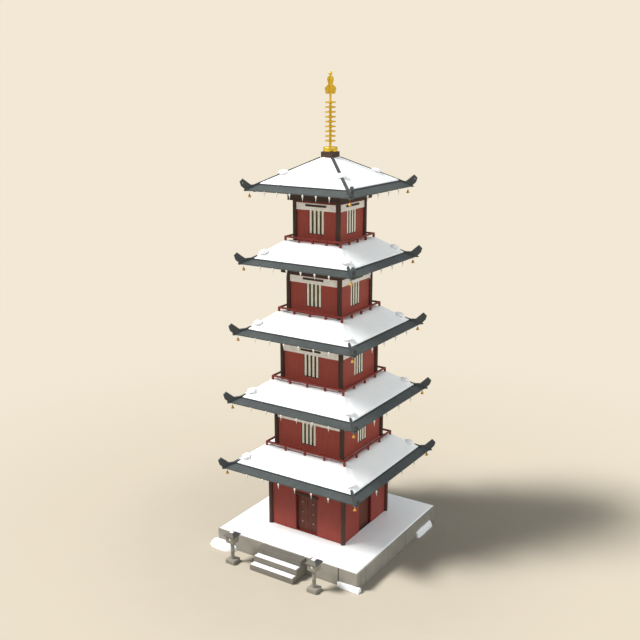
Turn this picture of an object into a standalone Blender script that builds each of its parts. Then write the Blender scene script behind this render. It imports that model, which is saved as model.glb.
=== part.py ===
"""Five-storey timber pagoda under snow.

It stands on a square stone platform with three steps and two free-standing stone lanterns. The front,
with the steps and the double door, faces -Y. The origin is on the ground, under the middle of the
tower. Every length is in metres.
"""
import math

import bmesh
import bpy
from mathutils import Vector

# Clearance between two pieces that touch
GAP = 0.0003
# How far a cutting shape reaches past the piece that it cuts
CUT_REACH = 1.0

# Storeys and roofs. Heights are measured from the top of the platform.
STOREYS = 5
STOREY_PITCH = 3.365
HALF_TAPER = 0.2415

# Stone platform, its steps and the snow on it
PLATFORM_HALF = 4.0
PLATFORM_HEIGHT = 0.87
STEP_COUNT = 3
STEP_RISE = PLATFORM_HEIGHT / STEP_COUNT
STEP_HALF_WIDTH = 1.23
STEP_FRONT = 5.10
STEP_GOING = 0.33
SNOW_THICKNESS = 0.04
PLATFORM_SNOW_HALF = 3.94
PLATFORM_SNOW_INNER = 2.26

# Corner posts and walls. The walls' outer faces lie on the posts' centre lines.
POST_RADIUS = 0.115
POST_SIDES = 16
POST_LINE_1 = 2.098
POST_TAPER = 0.2332
GROUND_WALL = 0.20
UPPER_WALL = 0.14
CUT_RADIUS = POST_RADIUS + GAP

# Heights of an upper storey's courses above its own floor
WINDOW_SILL = 0.448
BAND_FOOT = 1.537
BAND_TOP = 1.856
BRACKET_FOOT = 1.952
WINDOW_HALF = 0.41
BAND_PROUD = 0.05

# The same levels in the ground storey
GROUND_WALL_TOP = 2.648
GROUND_BRACKET_FOOT = 2.744

# Doors
DOOR_HALF = 0.594
DOOR_HEIGHT = 2.0
DOOR_RECESS = 0.15
LEAF_THICKNESS = 0.05
LEAF_CLEARANCE = 0.006
LEAF_MEETING_GAP = 0.010
LEAF_ROUND_STEPS = 4
JAMB_WIDTH = 0.045
LINTEL_HALF = 0.676
LINTEL_HEIGHT = 0.105
LINTEL_PROUD = 0.05
SILL_HEIGHT = 0.06
SILL_SETBACK = 0.01
PIN_RADIUS = 0.015
PIN_PLAY = 0.0015
PIN_DEPTH = 0.04
FLOOR_THICKNESS = 0.04

# Roofs. The eave is the roof's lower edge, and the snow line is where its snow begins.
EAVE_HALF_1 = 3.758
EAVE_FOOT_1 = 3.204
FLOOR_2 = 4.150
EAVE_EDGE = 0.05
SOFFIT_SLOPE = 0.20
EAVE_TO_SNOW = 0.43
EAVE_TO_BRACKET = 1.372
EAVE_TO_RAILING = 1.538
RAILING_TO_ROOF_EDGE = 0.05
ROOF_CURVE = 1.3
ROOF_PLATE = 0.12
TOP_ROOF_SLOPE = 0.545
TOP_ROOF_HALF = 0.34
TOP_ROOF_SHELL = 0.16
PROFILE_STEPS = (0.54, 0.77)

# Hip bars and the upturned corner pieces
HIP_WIDTH = 0.10
HIP_HEIGHT = 0.07
HIP_SUNK = 0.03
HIP_LENGTH = 0.60
TIP_WIDTH = 0.13
# Side view of a corner piece: distance outward from the eave corner, and height above the eave's foot
TIP_OUTLINE = (
    (-0.40, 0.12),
    (-0.02, 0.03),
    (0.125, 0.21),
    (0.17, 0.41),
    (0.07, 0.55),
    (-0.20, 0.26),
    (-0.40, 0.28),
)
# Side view of the nose of the hip rafter under each corner, measured in the same way
NOSE_WIDTH = 0.22
NOSE_OUTLINE = ((-0.35, 0.0), (0.03, -0.01), (0.045, 0.015), (0.03, 0.045), (-0.35, 0.12))

# Railings
RAILING_HEIGHT = 0.30
RAIL_SECTION = 0.075
RAILING_POST = 0.085
RAILING_BAYS = 4

# Finial
FINIAL_BLOCK_HALF = 0.31
FINIAL_BLOCK_HEIGHT = 0.30
SPIRE_SIDES = 12
# Side view of the bowl: radius, and height above the block
SPIRE_BOWL_OUTLINE = ((0.31, 0.0), (0.335, 0.06), (0.335, 0.17), (0.30, 0.21))
SPIRE_SHAFT_RADIUS = 0.055
SPIRE_RINGS = 9
SPIRE_RING_RADIUS = 0.245
SPIRE_RING_HEIGHT = 0.11
SPIRE_RING_RIM = 0.06
SPIRE_RING_PITCH = 0.2127
SPIRE_FIRST_RING = 0.48
SPIRE_SHAFT_TOP = 2.55
# Half of a flame plate's outline: distance from the axis, and height above the shaft's top
FLAME_OUTLINE = ((0.215, 0.0), (0.265, 0.25), (0.107, 0.41), (0.160, 0.62), (0.080, 0.77))
FLAME_THICKNESS = 0.04
FLAME_CORE_RADIUS = 0.03
FLAME_TOP = 0.81
# Side view of the jewel: radius, and height above the shaft's top
JEWEL_OUTLINE = ((0.072, 0.87), (0.087, 0.915), (0.072, 0.965), (0.020, 1.0))

# Stone lanterns: square base, light box and cap on a round shaft
LANTERN_X = 2.327
LANTERN_Y = -4.984
LANTERN_BASE_HALF = 0.25
LANTERN_BASE_TOP = 0.20
LANTERN_SHAFT_RADIUS = 0.09
LANTERN_JOINT = 0.05
# Side view of the light box and the pointed cap over it: half width and height
LANTERN_HEAD_OUTLINE = (
    (0.13, 1.03),
    (0.215, 1.13),
    (0.225, 1.50),
    (0.31, 1.50),
    (0.31, 1.525),
    (0.02, 1.74),
)
LANTERN_WINDOW_RADIUS = 0.085
LANTERN_WINDOW_HEIGHT = 1.31
LANTERN_WINDOW_REACH = 0.30

# Snow drifts against the platform: name, centre x, centre y, half length x, half length y, height,
# and squareness. Two makes a drift round in plan, and higher powers make it squarer.
DRIFTS = (
    ("snow_drift_left", -3.60, -4.00, 0.80, 0.46, 0.42, 2.4),
    ("snow_drift_near", 3.61, -4.00, 0.63, 0.28, 0.27, 6.0),
    ("snow_drift_right", 4.00, 2.62, 0.27, 0.78, 0.36, 6.0),
)
DRIFT_RINGS = (1.0, 0.86, 0.55)
DRIFT_SIDES = 24

COLOURS = {
    "dark_timber": ((0.060, 0.040, 0.029), 0.65, 0.0),
    "red_lacquer": ((0.225, 0.045, 0.032), 0.55, 0.0),
    "vermilion": ((0.300, 0.028, 0.036), 0.50, 0.0),
    "plaster": ((0.680, 0.600, 0.500), 0.85, 0.0),
    "roof_tile": ((0.120, 0.143, 0.148), 0.60, 0.0),
    "door_wood": ((0.105, 0.043, 0.028), 0.60, 0.0),
    "stone": ((0.305, 0.283, 0.235), 0.90, 0.0),
    "snow": ((0.900, 0.910, 0.925), 0.70, 0.0),
    "gilt": ((0.780, 0.430, 0.060), 0.35, 1.0),
}

CORNERS = ((-1, -1), (1, -1), (1, 1), (-1, 1))


def eave_half(storey):
    """Half width of a storey's roof at its eave."""
    return EAVE_HALF_1 - HALF_TAPER * (storey - 1)


def eave_foot(storey):
    """Height of the lower edge of a storey's eave."""
    return PLATFORM_HEIGHT + EAVE_FOOT_1 + STOREY_PITCH * (storey - 1)


def floor_level(storey):
    """Height that a storey's posts and walls stand on."""
    if storey == 1:
        return PLATFORM_HEIGHT
    return PLATFORM_HEIGHT + FLOOR_2 + STOREY_PITCH * (storey - 2)


def post_line(storey):
    """Distance of a storey's post centres, and of its walls' outer faces, from the axis."""
    return POST_LINE_1 - POST_TAPER * (storey - 1)


def railing_half(storey):
    """Half width of the railing round a storey, at the middle of its posts."""
    return eave_half(storey - 1) - EAVE_TO_RAILING


def soffit_height(storey, half):
    """Height of a roof's underside where it is a given distance from the axis."""
    return eave_foot(storey) + SOFFIT_SLOPE * (eave_half(storey) - half)


def roof_profile(storey):
    """Outer profile of a roof from its eave edge to its top edge, as (half width, height) points."""
    outer = eave_half(storey)
    foot = eave_foot(storey) + EAVE_EDGE
    if storey == STOREYS:
        top_half = TOP_ROOF_HALF
        rise = TOP_ROOF_SLOPE * (outer - top_half)
        curve = 1.0
    else:
        top_half = railing_half(storey + 1) + RAILING_TO_ROOF_EDGE
        rise = floor_level(storey + 1) - foot
        curve = ROOF_CURVE
    fractions = (0.0, EAVE_TO_SNOW / (outer - top_half)) + PROFILE_STEPS + (1.0,)
    return [(outer - (outer - top_half) * f, foot + rise * f ** curve) for f in fractions]


def clear_scene():
    """Remove every object of the open file."""
    for old in list(bpy.data.objects):
        bpy.data.objects.remove(old, do_unlink=True)


def make_materials():
    """One Principled material for each finish."""
    materials = {}
    for name, (colour, roughness, metallic) in COLOURS.items():
        made = bpy.data.materials.new(name)
        made.use_nodes = True
        shader = made.node_tree.nodes["Principled BSDF"]
        shader.inputs["Base Color"].default_value = (*colour, 1.0)
        shader.inputs["Roughness"].default_value = roughness
        shader.inputs["Metallic"].default_value = metallic
        made.diffuse_color = (*colour, 1.0)
        materials[name] = made
    return materials


def add_object(name, shape, material=None, smooth=False):
    """Turn a finished bmesh into an object with one material."""
    bmesh.ops.recalc_face_normals(shape, faces=shape.faces)
    mesh = bpy.data.meshes.new(name)
    shape.to_mesh(mesh)
    shape.free()
    made = bpy.data.objects.new(name, mesh)
    bpy.context.scene.collection.objects.link(made)
    if material is not None:
        mesh.materials.append(material)
    if smooth:
        mesh.shade_smooth()
        mesh.set_sharp_from_angle(angle=math.radians(35))
    return made


def combine(target, name, shape, operation):
    """Join a helper shape to an object, or cut it out, with an exact Boolean."""
    helper = add_object(name, shape)
    helper.display_type = "WIRE"
    helper.hide_render = True
    modifier = target.modifiers.new(name, "BOOLEAN")
    modifier.operation = operation
    modifier.solver = "EXACT"
    modifier.object = helper


def add_box(shape, x_range, y_range, z_range):
    """Add a box between the given limits."""
    corners = [
        shape.verts.new((x, y, z))
        for z in sorted(z_range)
        for y in sorted(y_range)
        for x in sorted(x_range)
    ]
    for indices in ((0, 2, 3, 1), (4, 5, 7, 6), (0, 1, 5, 4), (2, 6, 7, 3), (0, 4, 6, 2), (1, 3, 7, 5)):
        shape.faces.new([corners[i] for i in indices])


def add_loft(shape, rings):
    """Skin a stack of equal rings of points and close its two ends."""
    made = [[shape.verts.new(point) for point in ring] for ring in rings]
    count = len(made[0])
    for lower, upper in zip(made, made[1:]):
        for i in range(count):
            j = (i + 1) % count
            shape.faces.new((lower[i], lower[j], upper[j], upper[i]))
    shape.faces.new(list(reversed(made[0])))
    shape.faces.new(made[-1])


def square_ring(half, height, centre=(0.0, 0.0)):
    """Four corners of a level square about an upright line."""
    return [(centre[0] + sx * half, centre[1] + sy * half, height) for sx, sy in CORNERS]


def add_square_tube(shape, profile):
    """Sweep a closed profile of (half width, height) points round the axis as a square ring."""
    rings = [
        [shape.verts.new(corner) for corner in square_ring(half, height)]
        for half, height in profile
    ]
    for lower, upper in zip(rings, rings[1:] + rings[:1]):
        for i in range(4):
            j = (i + 1) % 4
            shape.faces.new((lower[i], lower[j], upper[j], upper[i]))


def round_ring(centre, radius, height, sides, turn=0.0):
    """Points of a level regular polygon."""
    return [
        (
            centre[0] + radius * math.cos(turn + 2 * math.pi * i / sides),
            centre[1] + radius * math.sin(turn + 2 * math.pi * i / sides),
            height,
        )
        for i in range(sides)
    ]


def add_turned(shape, centre, outline, sides, turn=0.0):
    """Add a turned or many-sided piece from (radius, height) points, bottom to top."""
    add_loft(shape, [round_ring(centre, radius, height, sides, turn) for radius, height in outline])


def add_posts(shape, line, foot, top, radius):
    """Add the four corner posts of a storey."""
    for sx, sy in CORNERS:
        add_turned(shape, (sx * line, sy * line), ((radius, foot), (radius, top)), POST_SIDES)


def add_diagonal_slab(shape, corner, outline, width):
    """Add an upright slab on a corner's diagonal from an outline of (half width, height) points."""
    sx, sy = corner
    across = Vector((-sy, sx, 0.0)).normalized() * (width / 2)
    sides = [
        [Vector((sx * half, sy * half, height)) + across * side for half, height in outline]
        for side in (-1, 1)
    ]
    add_loft(shape, sides)


def build_platform(materials):
    """Stone platform with the snow that lies on it."""
    shape = bmesh.new()
    span = (-PLATFORM_HALF, PLATFORM_HALF)
    add_box(shape, span, span, (0.0, PLATFORM_HEIGHT))
    add_object("platform", shape, materials["stone"])
    low = PLATFORM_HEIGHT + GAP
    high = PLATFORM_HEIGHT + SNOW_THICKNESS
    shape = bmesh.new()
    outline = (
        (PLATFORM_SNOW_INNER, low),
        (PLATFORM_SNOW_HALF, low),
        (PLATFORM_SNOW_HALF, high),
        (PLATFORM_SNOW_INNER, high),
    )
    add_square_tube(shape, outline)
    add_object("platform_snow", shape, materials["snow"])


def build_steps(materials):
    """Three stone slabs laid on each other in front of the platform."""
    names = ("step_lower", "step_middle", "step_upper")
    for index, name in enumerate(names):
        shape = bmesh.new()
        front = -(STEP_FRONT - STEP_GOING * index)
        low = STEP_RISE * index + (GAP if index else 0.0)
        add_box(
            shape,
            (-STEP_HALF_WIDTH, STEP_HALF_WIDTH),
            (front, -PLATFORM_HALF - GAP),
            (low, STEP_RISE * (index + 1)),
        )
        add_object(name, shape, materials["stone"])


def build_lantern(name, centre, materials):
    """Stone lantern: square base, round shaft, light box with a round opening, and pointed cap."""
    shape = bmesh.new()
    add_loft(shape, [square_ring(LANTERN_BASE_HALF, z, centre) for z in (0.0, LANTERN_BASE_TOP)])
    made = add_object(name, shape, materials["stone"])
    box_foot = LANTERN_HEAD_OUTLINE[0][1]
    shaft = bmesh.new()
    shaft_ends = (LANTERN_BASE_TOP - LANTERN_JOINT, box_foot + LANTERN_JOINT)
    add_turned(shaft, centre, [(LANTERN_SHAFT_RADIUS, z) for z in shaft_ends], POST_SIDES)
    combine(made, name + "_shaft", shaft, "UNION")
    head = bmesh.new()
    add_loft(head, [square_ring(half, z, centre) for half, z in LANTERN_HEAD_OUTLINE])
    combine(made, name + "_head", head, "UNION")
    window = bmesh.new()
    hole = round_ring((centre[0], LANTERN_WINDOW_HEIGHT), LANTERN_WINDOW_RADIUS, 0.0, POST_SIDES)
    ends = (centre[1] - LANTERN_WINDOW_REACH, centre[1] + LANTERN_WINDOW_REACH)
    add_loft(window, [[(x, y, z) for x, z, _ in hole] for y in ends])
    combine(made, name + "_window_cut", window, "DIFFERENCE")


def squarer(px, py, power):
    """Move a point of a round ring out towards the corners of the square round it."""
    radius = math.hypot(px, py)
    reach = (abs(px / radius) ** power + abs(py / radius) ** power) ** (-1.0 / power)
    return px * reach, py * reach


def build_drifts(materials):
    """Low mounds of snow that lean against the platform."""
    for name, x, y, half_x, half_y, height, power in DRIFTS:
        shape = bmesh.new()
        rings = []
        for fraction in DRIFT_RINGS:
            level = height * math.sqrt(1.0 - fraction ** 2)
            ring = []
            for round_x, round_y, _ in round_ring((0.0, 0.0), fraction, level, DRIFT_SIDES):
                px, py = squarer(round_x, round_y, power)
                ring.append((x + half_x * px, y + half_y * py, level))
            rings.append(ring)
        add_loft(shape, rings)
        made = add_object(name, shape, materials["snow"], smooth=True)
        shape = bmesh.new()
        span = (-PLATFORM_HALF - GAP, PLATFORM_HALF + GAP)
        add_box(shape, span, span, (-CUT_REACH, PLATFORM_HEIGHT + CUT_REACH))
        combine(made, name + "_platform_cut", shape, "DIFFERENCE")


def frame_outline(storey, wall, ring_foot, bracket_foot):
    """Closed profile of the beam ring and the wider bracket course on top of the posts."""
    inner = post_line(storey) - wall
    outer = eave_half(storey) - EAVE_TO_BRACKET
    return (
        (inner, ring_foot),
        (post_line(storey), ring_foot),
        (post_line(storey), bracket_foot),
        (outer, bracket_foot),
        (outer, soffit_height(storey, outer) - GAP),
        (inner, soffit_height(storey, inner) - GAP),
    )


def build_frame(storey, name, wall, ring_foot, bracket_foot, material):
    """Four round posts joined by a beam ring and a bracket course under the eave."""
    base = floor_level(storey)
    shape = bmesh.new()
    add_square_tube(shape, frame_outline(storey, wall, base + ring_foot, base + bracket_foot))
    made = add_object(name, shape, material)
    posts = bmesh.new()
    post_top = base + (ring_foot + bracket_foot) / 2
    add_posts(posts, post_line(storey), base + GAP, post_top, POST_RADIUS)
    combine(made, name + "_posts", posts, "UNION")


def cut_posts(target, name, storey, foot, top):
    """Clear a wall piece for the corner posts."""
    shape = bmesh.new()
    add_posts(shape, post_line(storey), foot - CUT_REACH, top + CUT_REACH, CUT_RADIUS)
    combine(target, name, shape, "DIFFERENCE")


def build_ground_walls(materials):
    """Walls of the ground storey: split beside and over the front door, notched on the other sides."""
    outer = post_line(1)
    inner = outer - GROUND_WALL
    foot = PLATFORM_HEIGHT + GAP
    top = PLATFORM_HEIGHT + GROUND_WALL_TOP - GAP
    side = DOOR_HALF + JAMB_WIDTH + GAP
    lintel_top = PLATFORM_HEIGHT + DOOR_HEIGHT + LINTEL_HEIGHT
    pieces = (
        ("ground_wall_front_left", (-outer, -side)),
        ("ground_wall_front_right", (side, outer)),
    )
    for name, x_range in pieces:
        shape = bmesh.new()
        add_box(shape, x_range, (-outer, -inner), (foot, top))
        made = add_object(name, shape, materials["red_lacquer"])
        cut_posts(made, name + "_post_cut", 1, foot, top)
        shape = bmesh.new()
        half = LINTEL_HALF + GAP
        lintel_z = (lintel_top - LINTEL_HEIGHT - GAP, lintel_top + GAP)
        add_box(shape, (-half, half), (-outer - CUT_REACH, -inner + CUT_REACH), lintel_z)
        combine(made, name + "_lintel_cut", shape, "DIFFERENCE")
    shape = bmesh.new()
    add_box(shape, (-side + 2 * GAP, side - 2 * GAP), (-outer, -inner), (lintel_top + GAP, top))
    add_object("ground_wall_front_over", shape, materials["red_lacquer"])
    for side, facing in (("back", (0, 1)), ("right", (1, 0)), ("left", (-1, 0))):
        build_notched_wall(side, facing, materials)


def add_side_box(shape, facing, along, depth, z_range):
    """Add a box on one side of the tower, from its reach along that side and its distance from the axis."""
    if facing[1]:
        add_box(shape, along, [facing[1] * d for d in depth], z_range)
    else:
        add_box(shape, [facing[0] * d for d in depth], along, z_range)


def build_notched_wall(side, facing, materials):
    """One ground wall with a doorway through it, and the fixed boarded panel that fills the doorway."""
    name = f"ground_wall_{side}"
    outer = post_line(1)
    inner = outer - GROUND_WALL
    foot = PLATFORM_HEIGHT + GAP
    top = PLATFORM_HEIGHT + GROUND_WALL_TOP - GAP
    head = PLATFORM_HEIGHT + DOOR_HEIGHT
    length = outer if facing[1] else inner - GAP
    shape = bmesh.new()
    add_side_box(shape, facing, (-length, length), (inner, outer), (foot, top))
    made = add_object(name, shape, materials["red_lacquer"])
    if facing[1]:
        cut_posts(made, name + "_post_cut", 1, foot, top)
    shape = bmesh.new()
    half = DOOR_HALF + GAP
    through = (inner - CUT_REACH, outer + CUT_REACH)
    add_side_box(shape, facing, (-half, half), through, (foot - CUT_REACH, head + GAP))
    combine(made, name + "_doorway", shape, "DIFFERENCE")
    shape = bmesh.new()
    face = outer - DOOR_RECESS
    add_side_box(shape, facing, (-DOOR_HALF, DOOR_HALF), (face - LEAF_THICKNESS, face), (foot, head))
    add_object(f"ground_panel_{side}", shape, materials["door_wood"])


def door_axis():
    """Distance of a door leaf's pivot from the middle, and its place along Y."""
    x = DOOR_HALF - LEAF_CLEARANCE - LEAF_THICKNESS / 2
    y = -(post_line(1) - DOOR_RECESS) + LEAF_THICKNESS / 2
    return x, y


def build_door_frame(materials):
    """Sill, jambs and lintel of the front door, with the sockets for the leaves' pins."""
    outer = post_line(1)
    inner = outer - GROUND_WALL
    base = PLATFORM_HEIGHT
    head = base + DOOR_HEIGHT
    jamb_half = DOOR_HALF + JAMB_WIDTH
    shape = bmesh.new()
    lintel_y = (-outer - LINTEL_PROUD, -inner)
    add_box(shape, (-LINTEL_HALF, LINTEL_HALF), lintel_y, (head, head + LINTEL_HEIGHT))
    made = add_object("door_frame", shape, materials["dark_timber"])
    shape = bmesh.new()
    for side in (-1, 1):
        x_range = (side * DOOR_HALF, side * jamb_half)
        add_box(shape, x_range, (-outer, -inner), (base + GAP, head + LINTEL_HEIGHT / 2))
    combine(made, "door_frame_jambs", shape, "UNION")
    shape = bmesh.new()
    sill_half = DOOR_HALF + JAMB_WIDTH / 2
    sill_y = (-outer + SILL_SETBACK, -inner)
    add_box(shape, (-sill_half, sill_half), sill_y, (base + GAP, base + SILL_HEIGHT))
    combine(made, "door_frame_sill", shape, "UNION")
    shape = bmesh.new()
    x, y = door_axis()
    radius = PIN_RADIUS + PIN_PLAY
    for side in (-1, 1):
        for level in (base + SILL_HEIGHT, head):
            socket = ((radius, level - PIN_DEPTH), (radius, level + PIN_DEPTH))
            add_turned(shape, (side * x, y), socket, POST_SIDES)
    combine(made, "door_frame_sockets", shape, "DIFFERENCE")


def build_door_leaf(name, side, materials):
    """One door leaf with a rounded hanging stile and a pin at its head and foot."""
    x, y = door_axis()
    base = PLATFORM_HEIGHT
    radius = LEAF_THICKNESS / 2
    reach = x - LEAF_MEETING_GAP / 2
    angles = [math.pi / 2 * k / LEAF_ROUND_STEPS for k in range(-LEAF_ROUND_STEPS, LEAF_ROUND_STEPS + 1)]
    outline = [(-reach, -radius)]
    outline += [(radius * math.cos(a), radius * math.sin(a)) for a in angles]
    outline.append((-reach, radius))
    low = base + SILL_HEIGHT + LEAF_CLEARANCE
    high = base + DOOR_HEIGHT - LEAF_CLEARANCE
    shape = bmesh.new()
    rings = [[(side * (x + px), y + py, z) for px, py in outline] for z in (low, high)]
    add_loft(shape, rings)
    made = add_object(name, shape, materials["door_wood"])
    pins = bmesh.new()
    centre = (side * x, y)
    socket_floor = base + SILL_HEIGHT - PIN_DEPTH
    add_turned(pins, centre, ((PIN_RADIUS, socket_floor + GAP), (PIN_RADIUS, low + radius)), POST_SIDES)
    top = base + DOOR_HEIGHT + PIN_DEPTH - LEAF_CLEARANCE
    add_turned(pins, centre, ((PIN_RADIUS, high - radius), (PIN_RADIUS, top)), POST_SIDES)
    combine(made, name + "_pins", pins, "UNION")


def build_ground_floor(materials):
    """Boarded floor inside the ground storey."""
    half = post_line(1) - GROUND_WALL - GAP
    shape = bmesh.new()
    add_box(shape, (-half, half), (-half, half), (PLATFORM_HEIGHT + GAP, PLATFORM_HEIGHT + FLOOR_THICKNESS))
    add_object("ground_floor", shape, materials["dark_timber"])


def build_upper_walls(storey, materials):
    """Wall ring with a window in each side, and the plaster course above it."""
    base = floor_level(storey)
    outer = post_line(storey)
    inner = outer - UPPER_WALL
    name = f"storey_{storey}_walls"
    foot = base + GAP
    top = base + BAND_FOOT - GAP
    shape = bmesh.new()
    add_square_tube(shape, ((inner, foot), (outer, foot), (outer, top), (inner, top)))
    made = add_object(name, shape, materials["red_lacquer"])
    cut_posts(made, name + "_post_cut", storey, foot, top)
    sill = base + WINDOW_SILL
    window = (-WINDOW_HALF, WINDOW_HALF)
    through = (-outer - CUT_REACH, outer + CUT_REACH)
    for label, x_range, y_range in (("x", through, window), ("y", window, through)):
        shape = bmesh.new()
        add_box(shape, x_range, y_range, (sill, top + CUT_REACH))
        combine(made, f"{name}_windows_{label}", shape, "DIFFERENCE")
    name = f"storey_{storey}_plaster_band"
    foot = base + BAND_FOOT
    top = base + BAND_TOP - GAP
    proud = outer + BAND_PROUD
    shape = bmesh.new()
    add_square_tube(shape, ((inner, foot), (proud, foot), (proud, top), (inner, top)))
    made = add_object(name, shape, materials["plaster"])
    cut_posts(made, name + "_post_cut", storey, foot, top)


def build_railing(storey, material):
    """Square railing: one top rail on posts that stand on the roof below."""
    half = railing_half(storey)
    base = floor_level(storey)
    top = base + RAILING_HEIGHT
    name = f"storey_{storey}_railing"
    rail = RAIL_SECTION / 2
    shape = bmesh.new()
    low = top - RAIL_SECTION
    add_square_tube(shape, ((half - rail, low), (half + rail, low), (half + rail, top), (half - rail, top)))
    made = add_object(name, shape, material)
    posts = bmesh.new()
    size = RAILING_POST / 2
    places = [half * (2 * i / RAILING_BAYS - 1) for i in range(RAILING_BAYS + 1)]
    spots = [(x, y) for x in places for y in places if half in (abs(x), abs(y))]
    for x, y in spots:
        add_box(posts, (x - size, x + size), (y - size, y + size), (base + GAP, top - RAIL_SECTION / 2))
    combine(made, name + "_posts", posts, "UNION")


def hip_outline(storey, clearance):
    """Side view of a hip bar that follows the roof's surface, as (half width, height) points."""
    profile = roof_profile(storey)
    if storey < STOREYS:
        end = eave_half(storey) - HIP_LENGTH
        kept = [point for point in profile if point[0] > end]
        inner = profile[len(kept)]
        share = (kept[-1][0] - end) / (kept[-1][0] - inner[0])
        height = kept[-1][1] + share * (inner[1] - kept[-1][1])
        profile = kept + [(end, height)]
    profile = [(profile[0][0] - HIP_SUNK, profile[0][1])] + profile[1:]
    above = [(half, height + HIP_HEIGHT + clearance) for half, height in profile]
    below = [(half, height - HIP_SUNK - clearance) for half, height in profile]
    if clearance:
        above[-1] = (above[-1][0] - clearance, above[-1][1])
        below[-1] = (below[-1][0] - clearance, below[-1][1])
    return above + below[::-1]


def build_roof(storey, materials):
    """Hipped roof with hip bars and upturned corners. It carries the floor of the storey above."""
    profile = roof_profile(storey)
    inner = post_line(storey) - (GROUND_WALL if storey == 1 else UPPER_WALL)
    top_half, top = profile[-1]
    rings = []
    if storey < STOREYS:
        rings.append(square_ring(inner, top - ROOF_PLATE))
    else:
        rings.append(square_ring(top_half / 2, top - TOP_ROOF_SHELL - TOP_ROOF_SLOPE * top_half / 2))
    rings.append(square_ring(inner, soffit_height(storey, inner)))
    rings.append(square_ring(eave_half(storey), eave_foot(storey)))
    rings += [square_ring(half, height) for half, height in profile]
    shape = bmesh.new()
    add_loft(shape, rings)
    name = f"roof_{storey}"
    made = add_object(name, shape, materials["roof_tile"])
    bars = bmesh.new()
    tips = bmesh.new()
    noses = bmesh.new()
    tip = [(eave_half(storey) + out, eave_foot(storey) + up) for out, up in TIP_OUTLINE]
    nose = [(eave_half(storey) + out, eave_foot(storey) + up) for out, up in NOSE_OUTLINE]
    for corner in CORNERS:
        add_diagonal_slab(bars, corner, hip_outline(storey, 0.0), HIP_WIDTH)
        add_diagonal_slab(tips, corner, tip, TIP_WIDTH)
        add_diagonal_slab(noses, corner, nose, NOSE_WIDTH)
    combine(made, name + "_hip_bars", bars, "UNION")
    combine(made, name + "_corner_tips", tips, "UNION")
    combine(made, name + "_corner_noses", noses, "UNION")


def build_roof_snow(storey, materials):
    """Sheet of snow on a roof's slope, parted at the hip bars."""
    profile = roof_profile(storey)[1:]
    if storey == STOREYS:
        profile.append((FINIAL_BLOCK_HALF + GAP, profile[-1][1]))
    lower = [(half, height + GAP) for half, height in profile]
    upper = [(half, height + SNOW_THICKNESS) for half, height in profile]
    shape = bmesh.new()
    add_square_tube(shape, lower + upper[::-1])
    name = f"roof_{storey}_snow"
    made = add_object(name, shape, materials["snow"])
    cuts = bmesh.new()
    for corner in CORNERS:
        add_diagonal_slab(cuts, corner, hip_outline(storey, GAP), HIP_WIDTH + 2 * GAP)
    combine(made, name + "_hip_cut", cuts, "DIFFERENCE")


def build_spire(block_top, materials):
    """Gilt bowl, shaft and rings in one turned piece."""
    foot = block_top + GAP
    outline = [(radius, foot + height) for radius, height in SPIRE_BOWL_OUTLINE]
    outline.append((SPIRE_SHAFT_RADIUS, outline[-1][1]))
    for index in range(SPIRE_RINGS):
        middle = block_top + SPIRE_FIRST_RING + SPIRE_RING_PITCH * index
        outline += [
            (SPIRE_SHAFT_RADIUS, middle - SPIRE_RING_HEIGHT / 2),
            (SPIRE_RING_RADIUS, middle - SPIRE_RING_RIM / 2),
            (SPIRE_RING_RADIUS, middle + SPIRE_RING_RIM / 2),
            (SPIRE_SHAFT_RADIUS, middle + SPIRE_RING_HEIGHT / 2),
        ]
    outline.append((SPIRE_SHAFT_RADIUS, block_top + SPIRE_SHAFT_TOP - GAP))
    shape = bmesh.new()
    add_turned(shape, (0.0, 0.0), outline, SPIRE_SIDES)
    add_object("finial_spire", shape, materials["gilt"], smooth=True)


def build_flame(foot, materials):
    """Two flame plates that cross on the axis, with a round core that carries the jewel."""
    half = [(radius / math.sqrt(2), foot + height) for radius, height in FLAME_OUTLINE]
    outline = half + [(-distance, height) for distance, height in reversed(half)]
    shape = bmesh.new()
    add_diagonal_slab(shape, (1, 1), outline, FLAME_THICKNESS)
    made = add_object("finial_flame", shape, materials["gilt"])
    shape = bmesh.new()
    add_diagonal_slab(shape, (1, -1), outline, FLAME_THICKNESS)
    combine(made, "finial_flame_cross", shape, "UNION")
    shape = bmesh.new()
    core = ((FLAME_CORE_RADIUS, foot), (FLAME_CORE_RADIUS, foot + FLAME_TOP))
    add_turned(shape, (0.0, 0.0), core, SPIRE_SIDES)
    combine(made, "finial_flame_core", shape, "UNION")


def build_finial(materials):
    """Dark block, gilt spire, flame and jewel on top of the highest roof."""
    base = roof_profile(STOREYS)[-1][1]
    block_top = base + FINIAL_BLOCK_HEIGHT
    shape = bmesh.new()
    half = FINIAL_BLOCK_HALF
    add_box(shape, (-half, half), (-half, half), (base + GAP, block_top))
    add_object("finial_block", shape, materials["dark_timber"])
    build_spire(block_top, materials)
    shaft_top = block_top + SPIRE_SHAFT_TOP
    build_flame(shaft_top, materials)
    outline = [(FLAME_CORE_RADIUS, shaft_top + FLAME_TOP + GAP)]
    outline += [(radius, shaft_top + height) for radius, height in JEWEL_OUTLINE]
    shape = bmesh.new()
    add_turned(shape, (0.0, 0.0), outline, SPIRE_SIDES)
    add_object("finial_jewel", shape, materials["gilt"], smooth=True)


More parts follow.
